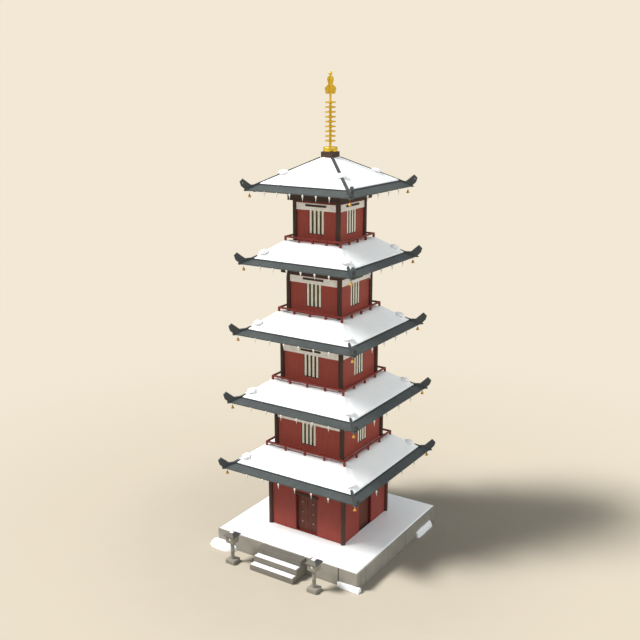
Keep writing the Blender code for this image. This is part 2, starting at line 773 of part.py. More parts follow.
def main():
    """Build the whole pagoda."""
    clear_scene()
    materials = make_materials()
    build_platform(materials)
    build_steps(materials)
    build_lantern("lantern_left", (-LANTERN_X, LANTERN_Y), materials)
    build_lantern("lantern_right", (LANTERN_X, LANTERN_Y), materials)
    build_drifts(materials)
    build_ground_floor(materials)
    timber = materials["dark_timber"]
    build_frame(1, "ground_frame", GROUND_WALL, GROUND_WALL_TOP, GROUND_BRACKET_FOOT, timber)
    build_ground_walls(materials)
    build_door_frame(materials)
    build_door_leaf("door_leaf_left", -1, materials)
    build_door_leaf("door_leaf_right", 1, materials)
    for storey in range(2, STOREYS + 1):
        frame_name = f"storey_{storey}_frame"
        build_frame(storey, frame_name, UPPER_WALL, BAND_TOP, BRACKET_FOOT, timber)
        build_upper_walls(storey, materials)
        build_railing(storey, materials["vermilion"])
    for storey in range(1, STOREYS + 1):
        build_roof(storey, materials)
        build_roof_snow(storey, materials)
    build_finial(materials)


main()
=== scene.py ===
"""Looks of a snow-covered five-storey timber pagoda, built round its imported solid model.

The solid model gives every main line of the building. This script reads those lines from it, gives each
piece its finish, and adds what is too fine for the solid model: window bars, facing stones, rafters,
door studs, bells, ice and snow. Every length is in metres, and the front with the double door faces -Y.
"""
import logging
import math
import random
from dataclasses import dataclass
from enum import Enum
from functools import cached_property
from typing import Callable, ClassVar, Iterable, Optional, Sequence, Union

import bmesh
import bpy
from mathutils import Matrix, Vector, noise


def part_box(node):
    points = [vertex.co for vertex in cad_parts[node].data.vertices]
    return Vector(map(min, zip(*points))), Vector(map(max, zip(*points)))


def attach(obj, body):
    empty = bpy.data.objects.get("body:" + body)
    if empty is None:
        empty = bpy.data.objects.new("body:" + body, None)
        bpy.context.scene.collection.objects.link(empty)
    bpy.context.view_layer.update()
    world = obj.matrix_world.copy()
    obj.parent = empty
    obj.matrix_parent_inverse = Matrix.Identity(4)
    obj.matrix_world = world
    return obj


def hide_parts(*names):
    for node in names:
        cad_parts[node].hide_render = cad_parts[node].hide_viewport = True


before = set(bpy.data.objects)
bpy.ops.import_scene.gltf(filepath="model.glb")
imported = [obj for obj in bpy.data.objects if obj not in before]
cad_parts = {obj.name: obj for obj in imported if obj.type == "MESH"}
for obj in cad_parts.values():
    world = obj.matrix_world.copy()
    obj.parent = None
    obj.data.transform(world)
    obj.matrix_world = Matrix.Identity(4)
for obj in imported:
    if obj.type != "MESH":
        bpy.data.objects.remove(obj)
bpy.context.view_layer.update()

LOG = logging.getLogger("pagoda")

Colour = tuple[float, float, float]
Span = tuple[float, float]
Point = tuple[float, float, float]
Outline = Sequence[tuple[float, float]]
Key = tuple[int, int]

# Names of the moving bodies
TOWER = "tower"
LEFT_DOOR = "left_door"
RIGHT_DOOR = "right_door"

STOREYS = 5
CORNERS = ((-1, -1), (1, -1), (1, 1), (-1, 1))
DIAGONAL = math.sqrt(2.0)
# Edges sharper than this stay crisp on a smooth-shaded piece
CRISP_ANGLE = math.radians(38)
# How strongly paint and oiled timber reflect
PAINT_SHEEN = 0.3
# Range that most values of a noise texture lie in, and its roughness
MIDDLE = (0.3, 0.7)
NOISE_ROUGHNESS = 0.55
# Gap between faces that lie on each other, and how exactly a face's place is known
HAIRLINE = 0.0005
TOLERANCE = 0.001


class Side(Enum):
    """The four sides of the square tower, numbered by quarter turns from the front."""

    FRONT = 0
    RIGHT = 1
    BACK = 2
    LEFT = 3

    def place(self, along: float, out: float, up: float) -> Vector:
        """Point of a side from its reach along the side, its distance from the axis and its height."""
        x, y = along, -out
        for _ in range(self.value):
            x, y = -y, x
        return Vector((x, y, up))


class Grain(Enum):
    """How often a timber's fibre repeats along its side, outwards and upwards."""

    UPRIGHT = (16.0, 16.0, 0.8)
    LEVEL = (0.8, 16.0, 16.0)


class NodeDesk:
    """Wires the nodes of one material."""

    # Places of a Mix node's colour sockets: its factor and two colours, and its result
    MIX_INPUTS = (0, 6, 7)
    MIX_RESULT = 2

    def __init__(self, name: str) -> None:
        """Start a new material with a Principled shader."""
        self.material = bpy.data.materials.new(name)
        self.material.use_nodes = True
        self.nodes = self.material.node_tree.nodes
        self.links = self.material.node_tree.links
        self.shader = self.nodes["Principled BSDF"]

    def feed(self, socket: bpy.types.NodeSocket, value: object) -> None:
        """Link a socket to another node's output, or set it to a plain value."""
        if isinstance(value, bpy.types.NodeSocket):
            self.links.new(value, socket)
        elif socket.type == "RGBA":
            socket.default_value = (*value, 1.0)
        else:
            socket.default_value = value

    def calculate(self, operation: str, *values: object) -> bpy.types.NodeSocket:
        """Output of a Math node."""
        node = self.nodes.new("ShaderNodeMath")
        node.operation = operation
        for socket, value in zip(node.inputs, values):
            self.feed(socket, value)
        return node.outputs[0]

    def noise(self, vector: object, scale: float, detail: float) -> bpy.types.NodeSocket:
        """Value of a noise texture."""
        node = self.nodes.new("ShaderNodeTexNoise")
        self.feed(node.inputs["Vector"], vector)
        node.inputs["Scale"].default_value = scale
        node.inputs["Detail"].default_value = detail
        node.inputs["Roughness"].default_value = NOISE_ROUGHNESS
        return node.outputs[0]

    def span(self, value: object, low: float, high: float, start: float = 0.0,
             end: float = 1.0) -> bpy.types.NodeSocket:
        """Value brought softly from one range to another.

        Args:
            value: the socket to read.
            low: value at which the result is start.
            high: value at which the result is end.
            start: lowest result.
            end: highest result.

        Returns:
            The Map Range node's output.
        """
        node = self.nodes.new("ShaderNodeMapRange")
        node.interpolation_type = "SMOOTHSTEP"
        for name, number in (("From Min", low), ("From Max", high), ("To Min", start), ("To Max", end)):
            node.inputs[name].default_value = number
        self.feed(node.inputs["Value"], value)
        return node.outputs[0]

    def mix(self, factor: object, first: object, second: object) -> bpy.types.NodeSocket:
        """Colour between two colours."""
        node = self.nodes.new("ShaderNodeMix")
        node.data_type = "RGBA"
        for index, value in zip(self.MIX_INPUTS, (factor, first, second)):
            self.feed(node.inputs[index], value)
        return node.outputs[self.MIX_RESULT]

    def vector(self, x: object, y: object, z: object) -> bpy.types.NodeSocket:
        """Vector from three values."""
        node = self.nodes.new("ShaderNodeCombineXYZ")
        for socket, value in zip(node.inputs, (x, y, z)):
            self.feed(socket, value)
        return node.outputs[0]

    @cached_property
    def place(self) -> bpy.types.NodeSocket:
        """Place on the object, in its own metres."""
        return self.nodes.new("ShaderNodeTexCoord").outputs["Object"]

    @cached_property
    def side(self) -> tuple[bpy.types.NodeSocket, ...]:
        """Place on the square tower as (reach along its side, distance from the axis, height)."""
        split = self.nodes.new("ShaderNodeSeparateXYZ")
        self.feed(split.inputs[0], self.place)
        x, y, z = split.outputs
        wide = self.calculate("ABSOLUTE", x)
        deep = self.calculate("ABSOLUTE", y)
        on_flank = self.calculate("GREATER_THAN", wide, deep)
        shift = self.calculate("MULTIPLY", self.calculate("SUBTRACT", y, x), on_flank)
        return self.calculate("ADD", x, shift), self.calculate("MAXIMUM", wide, deep), z

    def joint(self, along: object, pitch: float, width: float) -> bpy.types.NodeSocket:
        """One inside the joints between boards or stones of a given pitch, and nought between them."""
        share = self.calculate("FRACT", self.calculate("MULTIPLY", along, 1.0 / pitch))
        middle = self.calculate("ABSOLUTE", self.calculate("SUBTRACT", share, 0.5))
        return self.span(middle, 0.5 - width / pitch, 0.5)

    def bump(self, height: object, depth: float, under: object = None) -> bpy.types.NodeSocket:
        """Surface relief of a given depth, laid over another relief where one is given."""
        node = self.nodes.new("ShaderNodeBump")
        node.inputs["Strength"].default_value = 1.0
        node.inputs["Distance"].default_value = depth
        self.feed(node.inputs["Height"], height)
        if under is not None:
            self.feed(node.inputs["Normal"], under)
        return node.outputs[0]

    def paint(self, colour: object, roughness: object, normal: object = None) -> None:
        """Feed the shader its colour, roughness and relief."""
        self.feed(self.shader.inputs["Base Color"], colour)
        self.feed(self.shader.inputs["Roughness"], roughness)
        if normal is not None:
            self.feed(self.shader.inputs["Normal"], normal)


@dataclass(frozen=True)
class Layer:
    """One noise in a finish: its grain, the tones that it swings between, its relief and its gloss."""

    scale: float
    detail: float
    # Values of the noise between which the tone changes, and how much of the change shows
    limits: Span = MIDDLE
    share: float = 1.0
    # Tones at the two limits, as parts of the main colour. Without a start the layers below show there.
    start: Optional[float] = None
    end: Union[float, Colour, None] = None
    # Depth of the relief, and what low and high values of the noise add to the roughness
    relief: float = 0.0
    swing: Optional[Span] = None
    # How often it repeats along the side, outwards and upwards, or None where it has no direction
    stretch: Optional[Point] = None


@dataclass(frozen=True)
class Seams:
    """Joints between boards or tiles: pitch, width, tone, how much of that tone shows, and depth."""

    pitch: float
    width: float
    tone: float
    share: float
    depth: float


@dataclass(frozen=True)
class Finish:
    """What all finishes share: a name, a material slot, a main colour and a roughness."""

    name: str
    slot: str
    colour: Colour
    roughness: float = 0.7

    # The noises from the lowest up, the joints, and other values of the shader
    layers: ClassVar[Sequence[Layer]] = ()
    seams: ClassVar[Optional[Seams]] = None
    sockets: ClassVar[Sequence[tuple[str, float]]] = ()

    def material(self) -> bpy.types.Material:
        """The finish's material, made once and then handed out again."""
        made = bpy.data.materials.get(self.name)
        if made is None:
            desk = NodeDesk(self.name)
            self.wire(desk)
            made = desk.material
        return made

    def shade(self, factor: Union[float, Colour]) -> Colour:
        """The main colour, made darker or lighter as a whole or channel by channel."""
        parts = factor if isinstance(factor, tuple) else (factor,) * 3
        return tuple(min(1.0, channel * part) for channel, part in zip(self.colour, parts))

    def wire(self, desk: NodeDesk) -> None:
        """Lay the noises over each other, then the joints, and let the weather at them."""
        colour, rough, relief = self.colour, self.roughness, None
        for layer in self.layers:
            place = desk.place
            if layer.stretch:
                parts = [desk.calculate("MULTIPLY", *pair) for pair in zip(desk.side, layer.stretch)]
                place = desk.vector(*parts)
            value = desk.noise(place, layer.scale, layer.detail)
            if layer.end is not None:
                start = colour if layer.start is None else self.shade(layer.start)
                change = desk.span(value, *layer.limits, 0.0, layer.share)
                colour = desk.mix(change, start, self.shade(layer.end))
            if layer.relief:
                relief = desk.bump(value, layer.relief, relief)
            if layer.swing:
                rough = desk.span(value, *MIDDLE, *(self.roughness + part for part in layer.swing))
        if self.seams:
            inside = desk.joint(desk.side[0], self.seams.pitch, self.seams.width)
            seen = desk.calculate("MULTIPLY", inside, self.seams.share)
            colour = desk.mix(seen, colour, self.shade(self.seams.tone))
            relief = desk.bump(desk.calculate("SUBTRACT", 1.0, inside), self.seams.depth, relief)
        for name, value in self.sockets:
            desk.shader.inputs[name].default_value = value
        desk.paint(self.weather(desk, colour), rough, relief)

    def weather(self, desk: NodeDesk, colour: object) -> object:
        """What the weather has made of the colour, which is no change on most finishes."""
        return colour


@dataclass(frozen=True)
class Timber(Finish):
    """Oiled or painted timber whose grain runs along the piece."""

    roughness: float = 0.62
    grain: Grain = Grain.UPRIGHT
    sockets = (("Specular IOR Level", PAINT_SHEEN),)

    @property
    def layers(self) -> tuple[Layer, ...]:
        """Fine fibre drawn out along the piece, under slow changes of tone."""
        fibre = Layer(
            1.6, 7.0, (0.34, 0.66), start=0.72, end=1.22, relief=0.004, swing=(0.12, -0.06),
            stretch=self.grain.value,
        )
        return fibre, Layer(1.1, 3.0, (0.35, 0.70), share=0.35, end=0.80)


@dataclass(frozen=True)
class PaintedBoards(Finish):
    """Upright boards under red paint, with brush marks, slightly faded patches and fine joints."""

    roughness: float = 0.53
    layers = (
        Layer(2.2, 6.0, (0.34, 0.66), start=0.90, end=1.08, relief=0.0012, stretch=(9.0, 1.0, 0.7)),
        Layer(0.9, 3.0, (0.40, 0.72), share=0.30, end=1.20, swing=(-0.07, 0.07)),
    )
    seams = Seams(pitch=0.262, width=0.003, tone=0.62, share=0.16, depth=0.0012)
    sockets = (("Specular IOR Level", PAINT_SHEEN),)


@dataclass(frozen=True)
class Plaster(Finish):
    """Lime plaster with trowel marks, fine grit and pale stains."""

    roughness: float = 0.85
    layers = (
        Layer(3.5, 5.0, (0.35, 0.70), start=1.04, end=0.90, relief=0.006),
        Layer(90.0, 3.0, relief=0.0015, swing=(-0.07, 0.07)),
    )


@dataclass(frozen=True)
class TileEdge(Finish):
    """Fired grey roof tiles with kiln marks and a slight bloom, seen along the eaves below the snow."""

    roughness: float = 0.59
    layers = (
        Layer(2.4, 5.0, (0.34, 0.68), start=0.88, end=1.10),
        Layer(28.0, 4.0, (0.45, 0.75), share=0.18, end=1.5, relief=0.003, swing=(-0.09, 0.09)),
    )
    seams = Seams(pitch=0.27, width=0.012, tone=0.5, share=0.22, depth=0.006)


@dataclass(frozen=True)
class Stone(Finish):
    """Dressed grey stone with slow stains, pits, grain and a damp foot."""

    roughness: float = 0.87
    damp_top: float = 0.22
    damp_share: float = 0.28
    damp_tone: float = 0.62
    layers = (
        Layer(0.9, 5.0, (0.34, 0.70), start=1.07, end=0.88),
        Layer(11.0, 6.0, relief=0.008),
        Layer(46.0, 4.0, (0.40, 0.64), share=0.35, end=0.74, relief=0.002, swing=(-0.07, 0.07)),
    )

    def weather(self, desk: NodeDesk, colour: object) -> object:
        """Darken the foot, where the stone draws up water."""
        damp = desk.span(desk.side[2], 0.0, self.damp_top, self.damp_share, 0.0)
        return desk.mix(damp, colour, self.shade(self.damp_tone))


@dataclass(frozen=True)
class Snow(Finish):
    """Fresh snow with a fine crust, and a cooler tone where its soft hollows lie, which is painted shade."""

    roughness: float = 0.65
    layers = (
        Layer(1.6, 4.0, (0.38, 0.66), start=1.0, end=(0.965, 0.98, 1.0), relief=0.020),
        Layer(38.0, 5.0, relief=0.0025, swing=(-0.10, 0.10)),
    )


@dataclass(frozen=True)
class Ice(Finish):
    """Milky, clouded ice of the icicles."""

    roughness: float = 0.375
    layers = (Layer(24.0, 4.0, (0.36, 0.66), start=1.0, end=0.86, relief=0.003, swing=(-0.125, 0.125)),)
    sockets = (("Transmission Weight", 0.15), ("IOR", 1.31))


@dataclass(frozen=True)
class Gilding(Finish):
    """Gold leaf over metal, with laps, dull patches and a slightly uneven gloss."""

    roughness: float = 0.34
    layers = (
        Layer(7.0, 4.0, (0.36, 0.66), start=1.0, end=0.82, relief=0.002),
        Layer(22.0, 5.0, (0.50, 0.78), share=0.45, end=0.55, swing=(-0.06, 0.16)),
    )
    sockets = (("Metallic", 0.72),)


@dataclass(frozen=True)
class Paper(Finish):
    """Oiled paper behind the stone lanterns' openings, with long fibres."""

    layers = (Layer(60.0, 6.0, (0.35, 0.65), start=1.0, end=0.88, relief=0.001, swing=(-0.1, 0.1)),)


POST_TIMBER = Timber("post_timber", "dark_timber", (0.066, 0.031, 0.023))
BEAM_TIMBER = Timber("beam_timber", "dark_timber", (0.060, 0.034, 0.025), grain=Grain.LEVEL)
WINDOW_BACK = Timber("window_back_boards", "dark_timber", (0.130, 0.095, 0.045))
DOOR_BOARDS = Timber("door_boards", "door_wood", (0.130, 0.037, 0.023), 0.58)
DEEP_RED = Timber("deep_red_timber", "red_lacquer", (0.150, 0.020, 0.017), 0.55)
BRIGHT_RED = Timber("bright_red_timber", "vermilion", (0.340, 0.034, 0.028), 0.5, Grain.LEVEL)
FOOT_RED = Timber("foot_red_timber", "vermilion", (0.250, 0.034, 0.027), 0.5, Grain.LEVEL)
RAILING_RED = Timber("railing_red", "vermilion", (0.203, 0.029, 0.023), 0.5, Grain.LEVEL)
WALL_RED = PaintedBoards("wall_red", "red_lacquer", (0.318, 0.052, 0.035))
# The ground storey's walls take a darker copy of the same red paint: painted shade
SHADED_GROUND_RED = PaintedBoards("shaded_ground_wall_red", "red_lacquer", (0.258, 0.041, 0.028))
BAND_PLASTER = Plaster("band_plaster", "plaster", (0.900, 0.865, 0.815))
BAR_PAINT = Plaster("bar_paint", "plaster", (0.860, 0.820, 0.700))
ROOF_TILES = TileEdge("roof_tiles", "roof_tile", (0.050, 0.061, 0.062))
# Darker tiles for the hip bars and corner tips, which is painted shade, and paler ones for the corner pieces'
# undersides, which is painted light
SHADED_CORNER_TILES = TileEdge("shaded_corner_tiles", "roof_tile", (0.040, 0.048, 0.053))
LIT_UNDERSIDE_TILES = TileEdge("lit_underside_tiles", "roof_tile", (0.085, 0.100, 0.103))
# Nearly black tiles of the strip along the snow's lower edge: painted shadow
SHADOW_BATTEN_TILES = TileEdge("shadow_batten_tiles", "roof_tile", (0.020, 0.025, 0.028))
DRESSED_STONE = Stone("dressed_stone", "stone", (0.287, 0.267, 0.232))
STEP_STONE = Stone("step_stone", "stone", (0.190, 0.175, 0.148))
TREAD_STONE = Stone("tread_stone", "stone", (0.155, 0.143, 0.122))
LANTERN_STONE = Stone("lantern_stone", "stone", (0.260, 0.240, 0.204))
CAP_STONE = Stone("cap_stone", "stone", (0.150, 0.138, 0.122))
# Much darker stone for the lantern caps' slopes that face right and back, away from the key light: painted
# shade
SHADED_CAP_STONE = Stone("shaded_cap_stone", "stone", (0.056, 0.053, 0.048))
# Nearly black stone behind the platform's joints and in the rims round the lantern panes: painted shade in
# those gaps and reveals
PAINTED_SHADE_STONE = Stone("painted_shade_stone", "stone", (0.075, 0.069, 0.059))
FRESH_SNOW = Snow("fresh_snow", "snow", (0.900, 0.905, 0.915))
MILKY_ICE = Ice("milky_ice", "snow", (0.900, 0.895, 0.860))
GOLD_LEAF = Gilding("gold_leaf", "gilt", (0.810, 0.535, 0.053))
BELL_GILT = Gilding("bell_gilt", "gilt", (0.660, 0.360, 0.075), 0.5)
PALE_STUDS = Gilding("pale_studs", "gilt", (0.520, 0.470, 0.420), 0.5)
LANTERN_PAPER = Paper("lantern_paper", "snow", (0.800, 0.820, 0.700))


class Workpiece:
    """A piece of the building while its mesh is being made."""

    # Subdivisions of a mound, and its lumps: how often they repeat, their share, and where they start
    MOUND_DETAIL = 4
    MOUND_LUMPS = ((1.7, 1.0, (1.0, 0.0, 1.0)), (4.1, 0.4, (0.0, 1.0, 0.0)))

    def __init__(self, name: str, *finishes: Finish) -> None:
        """Start an empty piece with its finishes, the main one first."""
        self.name = name
        self.finishes = finishes
        self.shape = bmesh.new()

    def box(self, low: Point, high: Point, edge: float = 0.0, finish: int = 0) -> None:
        """Add a box with chamfered edges.

        Args:
            low: lowest corner.
            high: highest corner.
            edge: width of the chamfer, or nought for sharp edges.
            finish: which of the piece's finishes it gets.
        """
        corners = [
            self.shape.verts.new((x, y, z))
            for z in (low[2], high[2])
            for y in (low[1], high[1])
            for x in (low[0], high[0])
        ]
        rounds = ((0, 2, 3, 1), (4, 5, 7, 6), (0, 1, 5, 4), (2, 6, 7, 3), (0, 4, 6, 2), (1, 3, 7, 5))
        faces = [self.shape.faces.new([corners[i] for i in indices]) for indices in rounds]
        if edge > 0.0:
            edges = list(dict.fromkeys(side for face in faces for side in face.edges))
            made = bmesh.ops.bevel(self.shape, geom=edges, offset=edge, segments=1, affect="EDGES")
            faces = [face for vert in made["verts"] for face in vert.link_faces]
        for face in faces:
            face.material_index = finish

    def side_box(self, side: Side, along: Span, out: Span, up: Span, edge: float = 0.0,
                 finish: int = 0) -> None:
        """Add a box on one side of the tower, from its reach along the side, depth and height."""
        first = side.place(along[0], out[0], up[0])
        second = side.place(along[1], out[1], up[1])
        low = [min(a, b) for a, b in zip(first, second)]
        high = [max(a, b) for a, b in zip(first, second)]
        self.box(low, high, edge, finish)

    def loft(self, rings: Sequence[Sequence[Point]], finish: int = 0) -> None:
        """Skin a stack of equal rings of points and close both ends."""
        made = [[self.shape.verts.new(point) for point in ring] for ring in rings]
        count = len(made[0])
        faces = []
        for lower, upper in zip(made, made[1:]):
            for i in range(count):
                j = (i + 1) % count
                faces.append(self.shape.faces.new((lower[i], lower[j], upper[j], upper[i])))
        faces.append(self.shape.faces.new(list(reversed(made[0]))))
        faces.append(self.shape.faces.new(made[-1]))
        for face in faces:
            face.material_index = finish

    def turned(self, centre: Sequence[float], outline: Outline, sides: int = 24, lean: Span = (0.0, 0.0),
               finish: int = 0) -> None:
        """Add a turned piece.

        Args:
            centre: x and y of its axis.
            outline: (radius, height) points from bottom to top.
            sides: number of sides.
            lean: how far the axis drifts in x and y for each metre of height.
            finish: which of the piece's finishes it gets.
        """
        foot = outline[0][1]
        rings = []
        for radius, height in outline:
            x = centre[0] + lean[0] * (height - foot)
            y = centre[1] + lean[1] * (height - foot)
            angles = [2 * math.pi * i / sides for i in range(sides)]
            rings.append([(x + radius * math.cos(a), y + radius * math.sin(a), height) for a in angles])
        self.loft(rings, finish)

    def square_stack(self, outline: Outline, centre: Sequence[float] = (0.0, 0.0), edge: float = 0.0,
                     finish: int = 0) -> None:
        """Add a square piece from (half width, height) points, bottom to top, with chamfered edges."""
        rings = []
        for half, height in outline:
            corner = []
            for sx, sy in CORNERS:
                for dx, dy in ((0, sy), (sx, 0)) if sx == sy else ((sx, 0), (0, sy)):
                    corner.append((
                        centre[0] + sx * half - dx * edge,
                        centre[1] + sy * half - dy * edge,
                        height,
                    ))
            rings.append(corner)
        self.loft(rings, finish)

    def square_tube(self, profile: Outline, finish: int = 0) -> None:
        """Sweep a closed profile of (half width, height) points round the axis as a square ring."""
        rings = [
            [self.shape.verts.new((sx * half, sy * half, height)) for sx, sy in CORNERS]
            for half, height in profile
        ]
        for lower, upper in zip(rings, rings[1:] + rings[:1]):
            for i in range(len(CORNERS)):
                j = (i + 1) % len(CORNERS)
                face = self.shape.faces.new((lower[i], lower[j], upper[j], upper[i]))
                face.material_index = finish

    def diagonal_slab(self, corner: tuple[int, int], outline: Outline, width: float) -> None:
        """Add an upright slab on a corner's diagonal from an outline of (half width, height) points."""
        sx, sy = corner
        across = Vector((-sy, sx, 0.0)).normalized() * (width / 2)
        self.loft([
            [Vector((sx * half, sy * half, height)) + across * hand for half, height in outline]
            for hand in (-1, 1)
        ])

    def boss(self, middle: Vector, outward: Vector, profile: Outline, sides: int = 24,
             finish: int = 0) -> None:
        """Add a round boss that stands out from an upright surface.

        Args:
            middle: its middle on the surface.
            outward: level direction that it faces.
            profile: (radius, distance outward) points, from the surface outward.
            sides: number of sides.
            finish: which of the piece's finishes it gets.
        """
        across = Vector((0.0, 0.0, 1.0)).cross(outward)
        rings = []
        for radius, proud in profile:
            ring = []
            for i in range(sides):
                angle = 2 * math.pi * i / sides
                spot = middle + outward * proud + across * (radius * math.cos(angle))
                spot.z += radius * math.sin(angle)
                ring.append(spot)
            rings.append(ring)
        self.loft(rings, finish)

    def mound(self, centre: Point, halves: Point, seed: float, rough: float = 0.12,
              squareness: float = 2.0, turn: Optional[Matrix] = None) -> None:
        """Add a rounded lump with an uneven surface.

        Args:
            centre: its middle.
            halves: its half sizes along its own three axes.
            seed: picks the unevenness.
            rough: depth of the unevenness as a share of its size.
            squareness: two for an egg, more for a lump with fuller shoulders.
            turn: rotation of its own axes, or None to keep them along X, Y and Z.
        """
        made = bmesh.ops.create_icosphere(self.shape, subdivisions=self.MOUND_DETAIL, radius=1.0)
        for vert in made["verts"]:
            ray = vert.co.copy()
            swell = 1.0
            for scale, share, shift in self.MOUND_LUMPS:
                swell += rough * share * noise.noise(ray * scale + Vector(shift) * seed)
            swell *= sum(abs(d) ** squareness for d in ray) ** (-1.0 / squareness)
            local = Vector([h * d * swell for h, d in zip(halves, ray)])
            vert.co = Vector(centre) + (turn @ local if turn else local)

    def carve(self, made: bpy.types.Object, cutter: "Workpiece") -> None:
        """Cut another workpiece's shape out of a finished object, and drop the cutter."""
        tool = cutter.to_object()
        modifier = made.modifiers.new("cut", "BOOLEAN")
        modifier.operation = "DIFFERENCE"
        modifier.solver = "EXACT"
        modifier.object = tool
        graph = bpy.context.evaluated_depsgraph_get()
        cut = bpy.data.meshes.new_from_object(made.evaluated_get(graph))
        made.modifiers.remove(modifier)
        made.data = cut
        bpy.data.objects.remove(tool, do_unlink=True)

    def to_object(self) -> bpy.types.Object:
        """Turn the mesh into an object with its finishes."""
        bmesh.ops.recalc_face_normals(self.shape, faces=self.shape.faces)
        mesh = bpy.data.meshes.new(self.name)
        self.shape.to_mesh(mesh)
        self.shape.free()
        for finish in self.finishes:
            mesh.materials.append(finish.material())
        made = bpy.data.objects.new(self.name, mesh)
        bpy.context.scene.collection.objects.link(made)
        return made

    def done(self, body: str = TOWER, replaces: Iterable[str] = (),
             cutters: Iterable["Workpiece"] = ()) -> bpy.types.Object:
        """Finish the piece and attach it to the body that it rides on.

        Args:
            body: the body that it rides on.
            replaces: the solid model's nodes that it stands for.
            cutters: shapes to cut out of it, one after the other.

        Returns:
            The finished object.
        """
        made = self.to_object()
        for cutter in cutters:
            self.carve(made, cutter)
        made.data.shade_smooth()
        made.data.set_sharp_from_angle(angle=CRISP_ANGLE)
        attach(made, body)
        if replaces:
            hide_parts(*replaces)
        LOG.info("%s: %d faces, finished in %s", self.name, len(made.data.polygons), self.finishes[0].name)
        return made


def dress(node: str, *finishes: Finish, pick: Optional[Callable[[Vector], int]] = None) -> None:
    """Give a node of the solid model its finishes.

    Args:
        node: the node's name.
        finishes: its finishes, the main one first.
        pick: chooses a finish for each face from the face's middle.
    """
    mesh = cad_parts[node].data
    mesh.materials.clear()
    for finish in finishes:
        mesh.materials.append(finish.material())
    for face in mesh.polygons:
        face.material_index = pick(face.center) if pick else 0
    LOG.info("%s: dressed in %s", node, finishes[0].name)


def smooth_step(value: float, low: float, high: float) -> float:
    """Soft change from nought to one between two values."""
    share = min(1.0, max(0.0, (value - low) / (high - low)))
    return share * share * (3.0 - 2.0 * share)


def raised(outline: Outline, level: float) -> list[Span]:
    """Outline of (distance, height) points, lifted to a level."""
    return [(distance, level + height) for distance, height in outline]


def soft_low(first: float, second: float, blend: float) -> float:
    """The lower of two values, with a rounded change between them."""
    share = max(blend - abs(first - second), 0.0) / blend
    return min(first, second) - share * share * blend / 4.0


def soft_high(first: float, second: float, blend: float) -> float:
    """The higher of two values, with a rounded change between them."""
    return -soft_low(-first, -second, blend)


def rounded_edge(distance: float, radius: float) -> float:
    """Share of a sheet's full thickness at a distance from its rounded edge."""
    share = min(1.0, max(0.0, distance / radius))
    return math.sqrt(1.0 - (1.0 - share) ** 2)


class SheetNet:
    """Closed sheet over a net of plan points, each with a top and an underside."""

    # Plan points closer than one part in this many of a metre are the same
    GRID = 1e5

    def __init__(self, piece: Workpiece, surface: Callable[[float, float], Span]) -> None:
        """Keep the piece that the sheet is made in, and what gives its top and underside at a point."""
        self.piece = piece
        self.surface = surface
        self.points: dict[Key, tuple[bmesh.types.BMVert, bmesh.types.BMVert]] = {}
        self.rims: dict[tuple[Key, Key], bool] = {}

    def key(self, x: float, y: float) -> Key:
        """Name of a plan point, shared by all cells that meet there, made at its first use."""
        name = (round(x * self.GRID), round(y * self.GRID))
        if name not in self.points:
            top, underside = self.surface(x, y)
            verts = self.piece.shape.verts
            self.points[name] = (verts.new((x, y, top)), verts.new((x, y, underside)))
        return name

    def cell(self, plan: Sequence[tuple[float, float]]) -> None:
        """Add the faces over and under one cell of the net, if it hasn't shrunk to a line."""
        names = []
        for x, y in plan:
            name = self.key(x, y)
            if name not in names:
                names.append(name)
        if len(names) < 3:
            return
        faces = self.piece.shape.faces
        faces.new([self.points[name][0] for name in names])
        faces.new([self.points[name][1] for name in reversed(names)])
        for first, second in zip(names, names[1:] + names[:1]):
            if (second, first) in self.rims:
                del self.rims[(second, first)]
            else:
                self.rims[(first, second)] = True

    def grid(self, rows: Sequence[Sequence[tuple[float, float]]]) -> None:
        """Add all cells between rows of plan points."""
        for near, far in zip(rows, rows[1:]):
            for i in range(len(near) - 1):
                self.cell((near[i], near[i + 1], far[i + 1], far[i]))

    def close(self) -> None:
        """Join the top to the underside round the net's free edges."""
        for first, second in self.rims:
            a, b = self.points[first], self.points[second]
            self.piece.shape.faces.new((b[0], a[0], a[1], b[1]))


def clustered(length: float, near: Sequence[float], step: float) -> list[float]:
    """Distances from one end of a length to the other, close together at the far end.

    Args:
        length: the whole length.
        near: the small distances kept at the far end, counted from that end.
        step: spacing elsewhere.

    Returns:
        The distances, from nought to the length.
    """
    inner = length - near[-1]
    count = max(1, round(inner / step))
    return [inner * i / count for i in range(count)] + [length - d for d in reversed(near)]


# Small distances that follow a rounded snow edge
EDGE_STEPS = (0.0, 0.006, 0.018, 0.036, 0.065)
# Spacing of a slab's other points, the lumps on its top, and its lift off what carries it
SLAB_STEP = 0.12
SLAB_LUMP = 0.12
SLAB_LUMP_SCALE = 2.3
SLAB_SEED = 7.0
SLAB_LIFT = 0.002
# A slab's rounding, as a multiple of its thickness
SLAB_ROUNDING = 1.2


def snow_slab(piece: Workpiece, x_span: Span, y_span: Span, level: float, thickness: float) -> None:
    """Add a slab of snow with soft edges and a slightly uneven top."""
    radius = min(EDGE_STEPS[-1], thickness * SLAB_ROUNDING)

    def surface(x: float, y: float) -> Span:
        """Top and underside of the slab at a plan point."""
        distance = min(x - x_span[0], x_span[1] - x, y - y_span[0], y_span[1] - y)
        spot = Vector((x * SLAB_LUMP_SCALE, y * SLAB_LUMP_SCALE, level * SLAB_SEED))
        full = thickness * (1.0 + SLAB_LUMP * noise.noise(spot))
        return level + SLAB_LIFT + full * rounded_edge(distance, radius), level + HAIRLINE

    def stops(span: Span) -> list[float]:
        """Plan stops from one end of a span to the other, close together at both ends."""
        half = (span[1] - span[0]) / 2
        middle = (span[1] + span[0]) / 2
        steps = clustered(half, EDGE_STEPS, SLAB_STEP)
        return [middle - d for d in reversed(steps)] + [middle + d for d in steps[1:]]

    net = SheetNet(piece, surface)
    net.grid([[(x, y) for x in stops(x_span)] for y in stops(y_span)])
    net.close()


